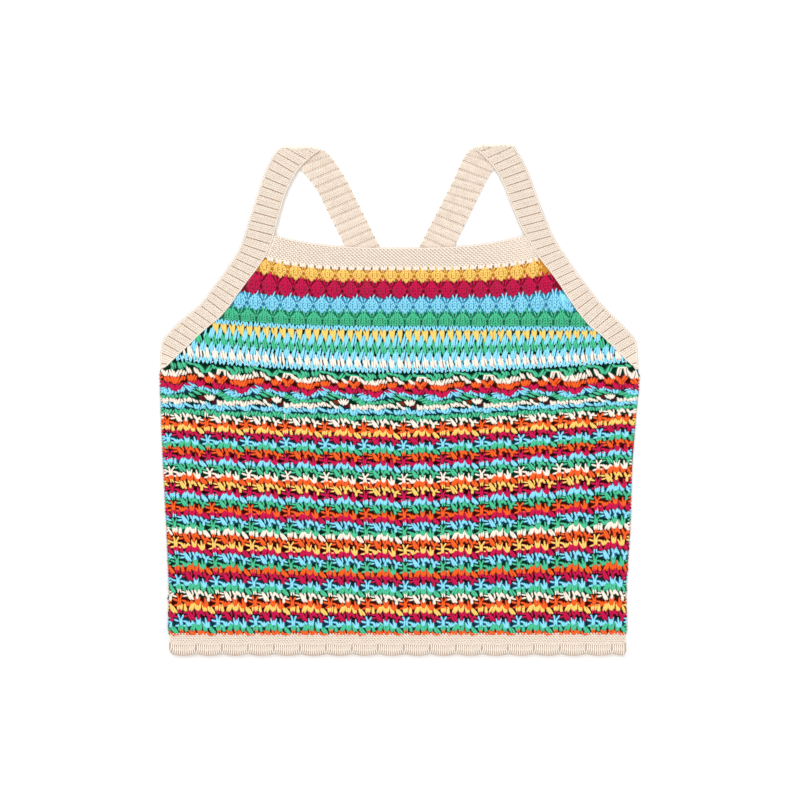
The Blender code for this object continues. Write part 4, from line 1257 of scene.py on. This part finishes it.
def strap_grids(front, fold, back, passes_over):
    """The outer and inner side of a band, their tones, the distance along the front's ribs, and the
    number of rows up to the fold: the band goes up the armhole, over the top and down behind."""
    shares = BAND_SHARES[None]
    front_band = smooth_band(front + (fold,))
    back_band = smooth_band((fold,) + back)
    front_end = front_band[0][-1]
    front_steps = np.arange(0.0, front_end, RIB_STEP)
    back_steps = np.arange(RIB_STEP, back_band[0][-1], RIB_STEP * 2.0)
    turns = np.linspace(0.0, math.pi, FOLD_TURNS)

    def rows(on_front, on_fold, on_back):
        """One number a row, from a number or an array for each stretch of the band."""
        stretches = zip((on_front, on_fold, on_back), (front_steps, turns, back_steps))
        return np.concatenate([np.broadcast_to(value, steps.shape) for value, steps in stretches])

    crosses = np.concatenate((crosses_at(front_band, front_steps), np.repeat([fold], FOLD_TURNS, axis=0),
                              crosses_at(back_band, back_steps)))
    radius = FRONT_FLOOR / 2.0
    back_middle = (back_band[1][:, 1] + back_band[1][:, 3]) / 2.0
    crossing = back_band[0][np.argmin(np.abs(back_middle - CROSSING_Y))]
    share = smooth_step((np.abs(back_steps - crossing) - CROSSING_FLAT) / CROSSING_RAMP)
    low = (CROSSING_WALL + SEAM) * (1.0 - share) * passes_over
    high = WALL if passes_over else lerp(CROSSING_WALL, WALL, share)
    fold_z = radius + WALL / 2.0 + radius * np.cos(turns)
    middle_z = rows(FRONT_FLOOR + WALL / 2.0, fold_z, (low + high) / 2.0)
    half = rows(WALL / 2.0, WALL / 2.0, (high - low) / 2.0)[:, None]
    angle = rows(0.0, turns, math.pi)
    along = rows(front_steps, front_end, front_end + back_steps)
    past_fold = (along - front_end)[:, None]
    x = lerp(crosses[:, 0:1], crosses[:, 2:3], shares)
    y = lerp(crosses[:, 1:2], crosses[:, 3:4], shares) + rows(0.0, radius * np.sin(turns), 0.0)[:, None]
    y = y - FOLD_DROP * np.exp(-(past_fold / FOLD_REACH) ** 2) * smooth_step((shares - 0.7) / 0.3)
    ribs = rib_distance(x, y, along, front)
    on_front = (np.arange(len(along)) < len(front_steps))[:, None]
    groove = rib_groove(ribs, shares)
    edge = np.clip(np.minimum(shares, 1.0 - shares) / BAND_EDGE, 0.0, 1.0)
    rounding = BAND_ROUND * (1.0 - np.sqrt(1.0 - (1.0 - edge) ** 2))
    outer_depth = np.where(on_front, groove * RIB_GROOVE + STITCH_SINK, STITCH_RISE) + rounding
    inner_depth = np.minimum(np.where(on_front, 0.0, STITCH_SINK), half * 0.5)
    normal = np.stack((np.zeros_like(angle), np.sin(angle), np.cos(angle)), axis=-1)[:, None]
    middle = np.stack((x, y, np.broadcast_to(middle_z[:, None], x.shape)), axis=-1)
    outer = middle + normal * (half - outer_depth)[..., None]
    inner = middle - normal * (half - inner_depth)[..., None]
    # Painted shade: the front's tone is darker in its grooves, and the reverse's is darker along each rib's
    # row of bumps
    outer_tone = np.where(on_front, BAND_TONE * (1.0 - groove), PLAIN_TONE)
    bump_rows = past_fold / (BUMP_DOWN * BUMPS_TO_A_RIB)
    from_line = np.abs(bump_rows - np.round(bump_rows)) * BUMP_DOWN * BUMPS_TO_A_RIB
    rib_line = np.exp(-(from_line / RIB_LINE_WIDTH) ** 2)
    inner_tone = np.where(on_front, PLAIN_TONE, REVERSE_TONE * (1.0 - rib_line))
    marks = [tone_marks(tone, x.shape) for tone in (outer_tone, inner_tone)]
    return outer, inner, marks, ribs, len(front_steps)


def rib_distance(x, y, along, front):
    """The distance along the ribs at each point. Past the last cross line the ribs keep its slant."""
    last = front[-1]
    start = np.array((last.outer_x, last.outer_y))
    end = np.array((last.inner_x, last.inner_y))
    middle = (start + end) / 2.0
    ahead = np.array((start[1] - end[1], end[0] - start[0])) / np.linalg.norm(end - start)
    ahead = ahead if ahead[1] > 0.0 else -ahead
    past = (x - middle[0]) * ahead[0] + (y - middle[1]) * ahead[1]
    lengths = smooth_band(front)[0]
    return np.where(along[:, None] > lengths[-1], lengths[-1] + past, along[:, None])


def rib_groove(ribs, share):
    """The depth of a band's cross grooves, from 0 to 1."""
    turn = (ribs / RIB_PITCH) % 1.0 - 0.5
    inside = smooth_step((np.minimum(share, 1.0 - share) - RIB_EDGE * 0.4) / (RIB_EDGE * 0.6))
    return np.exp(-(turn * RIB_PITCH / GROOVE_WIDTH) ** 2) * inside


def grid_at(grid, row, column):
    """Points of a grid at rows and columns that needn't be whole numbers."""
    row = np.clip(row, 0.0, grid.shape[0] - 1.001)
    column = np.clip(column, 0.0, grid.shape[1] - 1.001)
    first_row, first_column = row.astype(int), column.astype(int)
    down = (row - first_row)[..., None]
    across = (column - first_column)[..., None]
    top = lerp(grid[first_row, first_column], grid[first_row, first_column + 1], across)
    low = lerp(grid[first_row + 1, first_column], grid[first_row + 1, first_column + 1], across)
    return lerp(top, low, down)


def band_column(share):
    """The column of a band's grid at a share of its width."""
    return np.interp(share, BAND_SHARES, np.arange(len(BAND_SHARES)))


def lay_band_front(knit, outer, ribs):
    """Rows of small V's between the grooves, and a chain along each edge."""
    rows = np.arange(len(ribs))

    def points(distance, share):
        column = band_column(share)
        first = int(min(column, len(BAND_SHARES) - 2))
        passed = lerp(ribs[:, first], ribs[:, first + 1], column - first)
        place = np.interp(distance, passed, rows, left=np.nan, right=np.nan)
        inside = ~np.isnan(place)
        found = grid_at(outer, np.where(inside, place, 0.0), np.full(len(distance), column))
        found[:, 2] += STITCH_RISE
        return found, inside

    def lay(distance, reach, share, spread, width):
        first, first_in = points(distance - reach, share + spread)
        last, last_in = points(distance + reach, share + spread * VEE_CLOSE)
        keep = first_in & last_in
        middle = raised(first, last, width * 0.22)
        middle[:, :2] += RANDOM.normal(0.0, BAND_JITTER, (len(distance), 2))
        knit.add("cream", first[keep], middle[keep], last[keep], width, "arm", 0.7)

    reach = ribs.max()
    ribs_at = (np.arange(int(reach / RIB_PITCH) + 1) + 0.5) * RIB_PITCH
    for share in BAND_COLUMNS:
        for place in VEE_PLACES:
            for hand in (-1.0, 1.0):
                lay(ribs_at + place * RIB_PITCH, VEE_REACH, share, hand * VEE_SPREAD, VEE_WIDTH)
    for share in CHAIN_SHARES:
        lay(np.arange(1.0, reach, CHAIN_PITCH), CHAIN_REACH, share, 0.0, CHAIN_WIDTH)


def lay_band_back(knit, inner):
    """The band's reverse, behind: rows of small bumps, and at each rib a row of smaller ones, which shows
    more of the cloth's painted shade between them.
    """
    visible = np.nonzero(inner[:, len(BAND_SHARES) // 2, 1] > REVERSE_LOW_Y)[0][-1]
    step = BUMP_DOWN / (RIB_STEP * 2.0)
    for number in range(int(visible / step)):
        shares = np.arange(0.03 + 0.5 * (number % 2) * BUMP_ACROSS, 0.99, BUMP_ACROSS)
        width = BUMP_WIDTH * (BUMP_AT_RIB if number % BUMPS_TO_A_RIB == 0 else 1.0)
        rows = np.full(len(shares), 1.0 + number * step)
        first = grid_at(inner, rows, band_column(shares - BUMP_REACH))
        last = grid_at(inner, rows, band_column(shares + BUMP_REACH))
        middle = raised(first, last, width * 0.3)
        middle[:, :2] += RANDOM.normal(0.0, BAND_JITTER, (len(shares), 2))
        knit.add("cream", first, middle, last, width, "arm", 0.8)


def make_strap(name, knit, front, fold, back, passes_over):
    outer, inner, marks, ribs, count_front = strap_grids(front, fold, back, passes_over)
    lay_band_front(knit, outer, ribs[:count_front + FOLD_ROWS])
    lay_band_back(knit, inner[count_front + FOLD_TURNS:])
    return closed_sheet(name, outer, inner, marks=marks[0], inner_marks=marks[1]), outer


def scallop_y(x):
    turn = ((x - SCALLOP_FIRST) / SCALLOP_PITCH) % 1.0
    inset = np.clip(np.minimum(x - HEM_LEFT, HEM_RIGHT - x) / HEM_CORNER, 0.0, 1.0)
    corner = HEM_CORNER * (1.0 - np.sqrt(1.0 - (1.0 - inset) ** 2))
    return lerp(HEM_CUSP, HEM_LOBE, np.sin(math.pi * turn) ** 0.7) + corner


def hem_points(x, share, z):
    """Points on the hem, at a share of the way down it."""
    y = lerp(front_y(x, LACE_END) - SEAM, scallop_y(x), share)
    return np.stack(np.broadcast_arrays(x, y, z), axis=-1)


def hem_round(x):
    inset = np.clip(np.minimum(x - HEM_LEFT, HEM_RIGHT - x), 0.0, HEM_ROUND) / HEM_ROUND
    return np.sqrt(1.0 - (1.0 - inset) ** 2)


def make_hem_front(knit):
    x = np.linspace(HEM_LEFT, HEM_RIGHT, HEM_COLUMNS)[None]
    shares = np.linspace(0.0, 1.0, 9)[:, None]
    outer = hem_points(x, shares, lerp(HEM_EDGE_Z, SEED_BASE - 0.1, hem_round(x)))
    inner = hem_points(x, shares, FRONT_UNDER)
    # Painted shade: the cloth is much darker under the flutes than under the seeds
    tone = np.where(shares < HEM_SEED_END, 1.0, FLUTE_TONE)
    obj = closed_sheet("hem_front_cloth", outer, inner, marks=tone_marks(tone, outer.shape[:2]))
    top_y = front_y(np.array(0.0), LACE_END) - SEAM
    seed_share = (top_y - HEM_FLUTE_TOP) / (top_y - HEM_LOBE)
    rows = int((top_y - HEM_LOBE) * seed_share / SEED_DOWN)
    for row in range(-1, rows):
        lay_seed(knit, lambda x, at: hem_points(x, seed_share * at / rows, HEM_SEED_Z),
                 HEM_LEFT + SEED_INSET, HEM_RIGHT - SEED_INSET, row, HEM_SEED_ACROSS)
    for place in np.arange(SCALLOP_FIRST, HEM_RIGHT - 1.0, SCALLOP_PITCH / FLUTES_TO_A_SCALLOP):
        turn = ((place - SCALLOP_FIRST) / SCALLOP_PITCH) % 1.0 - 0.5
        top = hem_points(np.array([place]), seed_share, HEM_SEED_Z)
        low = hem_points(np.array([place + turn * 2.0]), 1.0, HEM_SEED_Z)
        middle = raised(top, low, FLUTE_CROWN)
        middle[:, 0] -= turn * FLUTE_BOW
        knit.add("cream", top, middle, low, FLUTE_WIDTH, "arm", 0.6)
    return obj, outer


def make_hem_back():
    x = np.linspace(HEM_LEFT, HEM_RIGHT, HEM_COLUMNS)[None]
    shares = np.linspace(0.0, 1.0, 5)[:, None]
    return back_sheet("hem_back_cloth", [hem_points(x, shares, z) for z in (WALL, 0.0)])


def sag_y(x, y_mid, y_side, reach):
    return lerp(y_mid, y_side, np.clip(np.abs(x - MIDDLE_X) / reach, 0.0, 1.0) ** 2)


def make_back_band():
    down = np.linspace(0.0, 1.0, 9)[:, None]
    x = np.linspace(-1.0, 1.0, CLOTH_COLUMNS)[None] * lerp(BACK_BAND_TOP_X, BACK_BAND_LOW_X, down)
    top = sag_y(x, BACK_BAND_TOP_MID, BACK_BAND_TOP_SIDE, BACK_BAND_TOP_X)
    low = sag_y(x, BACK_BAND_LOW_MID, BACK_BAND_LOW_SIDE, BACK_BAND_LOW_X)
    return back_sheet("back_band_cloth", laid_sides(x, lerp(top, low, down)))


def make_back(materials):
    """The back panel under the front, with the same stripes, from its band to the hem line."""
    levels = np.append(np.arange(ARMPIT, LACE_END, 1.0), LACE_END)
    ends = front_ends(np.maximum(levels, ARMPIT + 1.0))
    x = lerp(ends[0][:, None], ends[1][:, None], np.linspace(0.0, 1.0, CLOTH_COLUMNS)[None])
    top = sag_y(x[0], BACK_BAND_LOW_MID, BACK_BAND_LOW_SIDE, BACK_BAND_LOW_X) - SEAM
    down = ((levels - levels[0]) / (LACE_END - levels[0]))[:, None]
    outer, inner = laid_sides(x, lerp(top[None], front_y(x[-1], LACE_END)[None], down))
    shade = [YARNS.index(YARN_OF[STRIPES[int(level) - BACK_STRIPE_SHIFT]]) for level in levels[:-1]]
    shades = np.repeat(np.array(shade)[:, None], CLOTH_COLUMNS - 1, axis=1)
    # Painted shade: the upper side, under the front and seen through its eyelets, is all its knit_ copy's
    # deep shade; the underside is painted lighter
    obj = closed_sheet("back_cloth", outer, inner, shades=shades, marks=tone_marks(0.0, x.shape),
                       inner_marks=tone_marks(SHELL_TONE, x.shape))
    for yarn in YARNS:
        obj.data.materials.append(materials["knit_" + yarn])
    return obj, outer


def shell_yarn(level):
    """The yarn whose shade shows between the stitches. Between the mesh's posts it is the dark one."""
    if YOKE_END <= level < MESH_END:
        return MESH_SHADE_YARN
    yarn = YARN_OF[STRIPES[min(int(level), len(STRIPES) - 1)]]
    return yarn if level < YOKE_END else UNDER_YARN.get(yarn, yarn)


def front_shell(materials):
    """The front's own cloth, under its stitches: deep painted shade between them and lighter painted shade
    between the bobbles, cut through at the eyelets.
    """
    eyelet_levels = [level for eyelet in EYELETS for level in (eyelet.low, eyelet.high)]
    levels = np.unique(np.concatenate((np.arange(0.0, LACE_END, 0.5), eyelet_levels, (LACE_END,))))
    left, right = front_ends(EYELETS[0].low)
    places = np.linspace(left, right, SHELL_COLUMNS)
    holes = []
    for index in range(-1, CHEVRON_COUNT):
        for eyelet in EYELETS:
            centre = CHEVRON_FIRST + (index + 0.5) * CHEVRON_PITCH + eyelet.offset
            low, high = centre - EYELET_WIDTH / 2.0, centre + EYELET_WIDTH / 2.0
            if low > left + EDGE_ROUND and high < right - EDGE_ROUND:
                clear = (places <= low - EYELET_MARGIN) | (places >= high + EYELET_MARGIN)
                places = np.append(places[clear], (low, high))
                holes.append((low, high, eyelet))
    places = np.sort(places)
    ends = front_ends(levels)
    x = lerp(ends[0][:, None], ends[1][:, None], ((places - left) / (right - left))[None])
    outer = front_points(x, np.broadcast_to(levels[:, None], x.shape), 0.0)
    inner = outer.copy()
    inner[:, :, 2] = np.minimum(FRONT_UNDER, outer[:, :, 2] - SHELL_LEAST)
    middle = (places[:-1] + places[1:]) / 2.0
    level_middle = (levels[:-1] + levels[1:]) / 2.0
    keep = np.ones((len(level_middle), len(middle)), bool)
    for low, high, eyelet in holes:
        in_rows = (level_middle > eyelet.low) & (level_middle < eyelet.high)
        keep &= ~(in_rows[:, None] & ((middle > low) & (middle < high))[None])
    # Each row takes its yarn's copy in painted shade: deep (gap_) below the yoke, lighter (valley_) between
    # the bobbles
    shade = [YARNS.index(shell_yarn(level)) + len(YARNS) * (level < YOKE_END) for level in level_middle]
    shades = np.broadcast_to(np.array(shade)[:, None], keep.shape)
    obj = closed_sheet("front_cloth", outer, inner, keep, shades, tone_marks(SHELL_TONE, x.shape))
    for shade_prefix in ("gap_", "valley_"):
        for yarn in YARNS:
            obj.data.materials.append(materials[shade_prefix + yarn])
    return obj, outer


def make_floor():
    corners = np.array(((-1, -1, 1), (1, -1, 1), (1, 1, 1), (-1, 1, 1))) * (FLOOR_HALF, FLOOR_HALF, FLOOR_Z)
    mesh = mesh_of("floor", corners, np.array(((0, 1, 2, 3),)))
    floor = new_object("floor", mesh)
    material = bpy.data.materials.new("floor")
    material.use_nodes = True
    shader = material.node_tree.nodes["Principled BSDF"]
    shader.inputs["Base Color"].default_value = (0.97, 0.97, 0.97, 1.0)
    shader.inputs["Roughness"].default_value = 0.9
    shader.inputs["Specular IOR Level"].default_value = 0.1
    mesh.materials.append(material)


def area_light(name, place, size, power):
    light = bpy.data.lights.new(name, "AREA")
    light.shape = "SQUARE"
    light.size = size
    light.energy = power
    obj = new_object(name, light)
    obj.location = place
    obj.rotation_mode = "QUATERNION"
    direction = -obj.location.normalized()
    obj.rotation_quaternion = direction.to_track_quat("-Z", "Y")


def make_camera_and_light():
    camera = bpy.data.cameras.new("camera")
    camera.lens = 120.0
    camera.sensor_width = 36.0
    camera.clip_start = 0.01
    obj = new_object("camera", camera)
    obj.location = (0.00052, -0.00035, 2.2547)
    scene = bpy.context.scene
    scene.camera = obj
    scene.view_settings.view_transform = "Standard"
    area_light("key", (-0.45, 0.9, 1.8), size=1.3, power=20.0)
    area_light("fill", (0.9, -0.5, 1.6), size=1.6, power=8.4)
    world = bpy.data.worlds.new("world")
    scene.world = world
    world.use_nodes = True
    background = world.node_tree.nodes["Background"]
    background.inputs["Color"].default_value = (1.0, 1.0, 1.0, 1.0)
    background.inputs["Strength"].default_value = 0.65


# Each cloth piece's size before it was laid, width and length in metres, and what it lies on
Cut = namedtuple("Cut", "width length rests_on")


def make_materials():
    """Every yarn's material lit, and its copies in painted shade: under the stitches, between them, on the
    domes and behind.
    """
    materials = {"cream_cloth": yarn_material("cream_cloth", CREAM_CLOTH)}
    for yarn, colors in YARN_COLORS.items():
        materials[yarn] = yarn_material("yarn_" + yarn, colors)
        for shade_prefix, shade in FLAT_PAINTED_SHADES.items():
            materials[shade_prefix + yarn] = yarn_material(shade_prefix + yarn, colors, shade, flat=True)
        materials["dome_" + yarn] = yarn_material("dome_" + yarn, colors, DOME_SHADE)
        # The back's copy has deeper painted shade down its sides, where it lies under the front
        behind = YarnColors(colors.crest, [value * BEHIND_SHADE ** (1.0 / GAMMA) for value in colors.side])
        materials["knit_" + yarn] = yarn_material("knit_" + yarn, behind, BACK_SHADE)
    return materials


def place_stitches(obj, material):
    obj.data.materials.append(material)
    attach(obj, "root")
    return obj


def main():
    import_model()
    make_floor()
    make_camera_and_light()
    materials = make_materials()
    strands = Strands(5, (0.05, 0.34, 0.72, 0.95))
    fine = Strands(4, FINE_RINGS)
    domes = Strands(12, (0.05, 0.15, 0.30, 0.50, 0.70, 0.85, 0.95))
    under = Strands(4, (0.22, 0.78))
    lay_bobbles(strands, fine, domes)
    lay_mesh(strands)
    lay_chevrons(strands, fine, under)
    lay_lace(strands, under)
    lay_sides(strands)
    knits = {name: Strands(4, FINE_RINGS) for name in ("neckband", "hem_front", "strap_left", "strap_right")}
    sheets = (
        (front_shell(materials), "front_panel"),
        (make_back(materials), "back_panel"),
        (make_neckband(knits["neckband"]), "front_neckband"),
        (make_back_band(), "back_band"),
        (make_hem_front(knits["hem_front"]), "hem_front"),
        (make_hem_back(), "hem_back"),
        (make_strap("strap_left_cloth", knits["strap_left"], LEFT_FRONT, LEFT_FOLD, LEFT_BACK, False),
         "strap_left"),
        (make_strap("strap_right_cloth", knits["strap_right"], RIGHT_FRONT, RIGHT_FOLD, RIGHT_BACK, True),
         "strap_right"),
    )
    on_sheet = {}
    for (obj, _), node in sheets:
        on_sheet[obj.name] = []
        striped = node.endswith("_panel")
        if not striped:
            obj.data.materials.append(materials["cream_cloth"])
        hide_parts(node)
        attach(obj, "root")
    # Each group of strands takes its yarn's lit material, its dome_ copy, or its under_ copy in painted shade
    for name, group, shade_prefix in (("stitches", strands, ""), ("fine", fine, ""), ("bobbles", domes, "dome_"),
                                ("under", under, "under_")):
        for yarn in group.by_yarn:
            obj = group.build(name + "_" + yarn, yarn)
            on_sheet["front_cloth"].append(place_stitches(obj, materials[shade_prefix + yarn]))
    for name, knit in knits.items():
        obj = knit.build(name + "_stitches", "cream")
        on_sheet[name + "_cloth"].append(place_stitches(obj, materials["cream"]))


main()
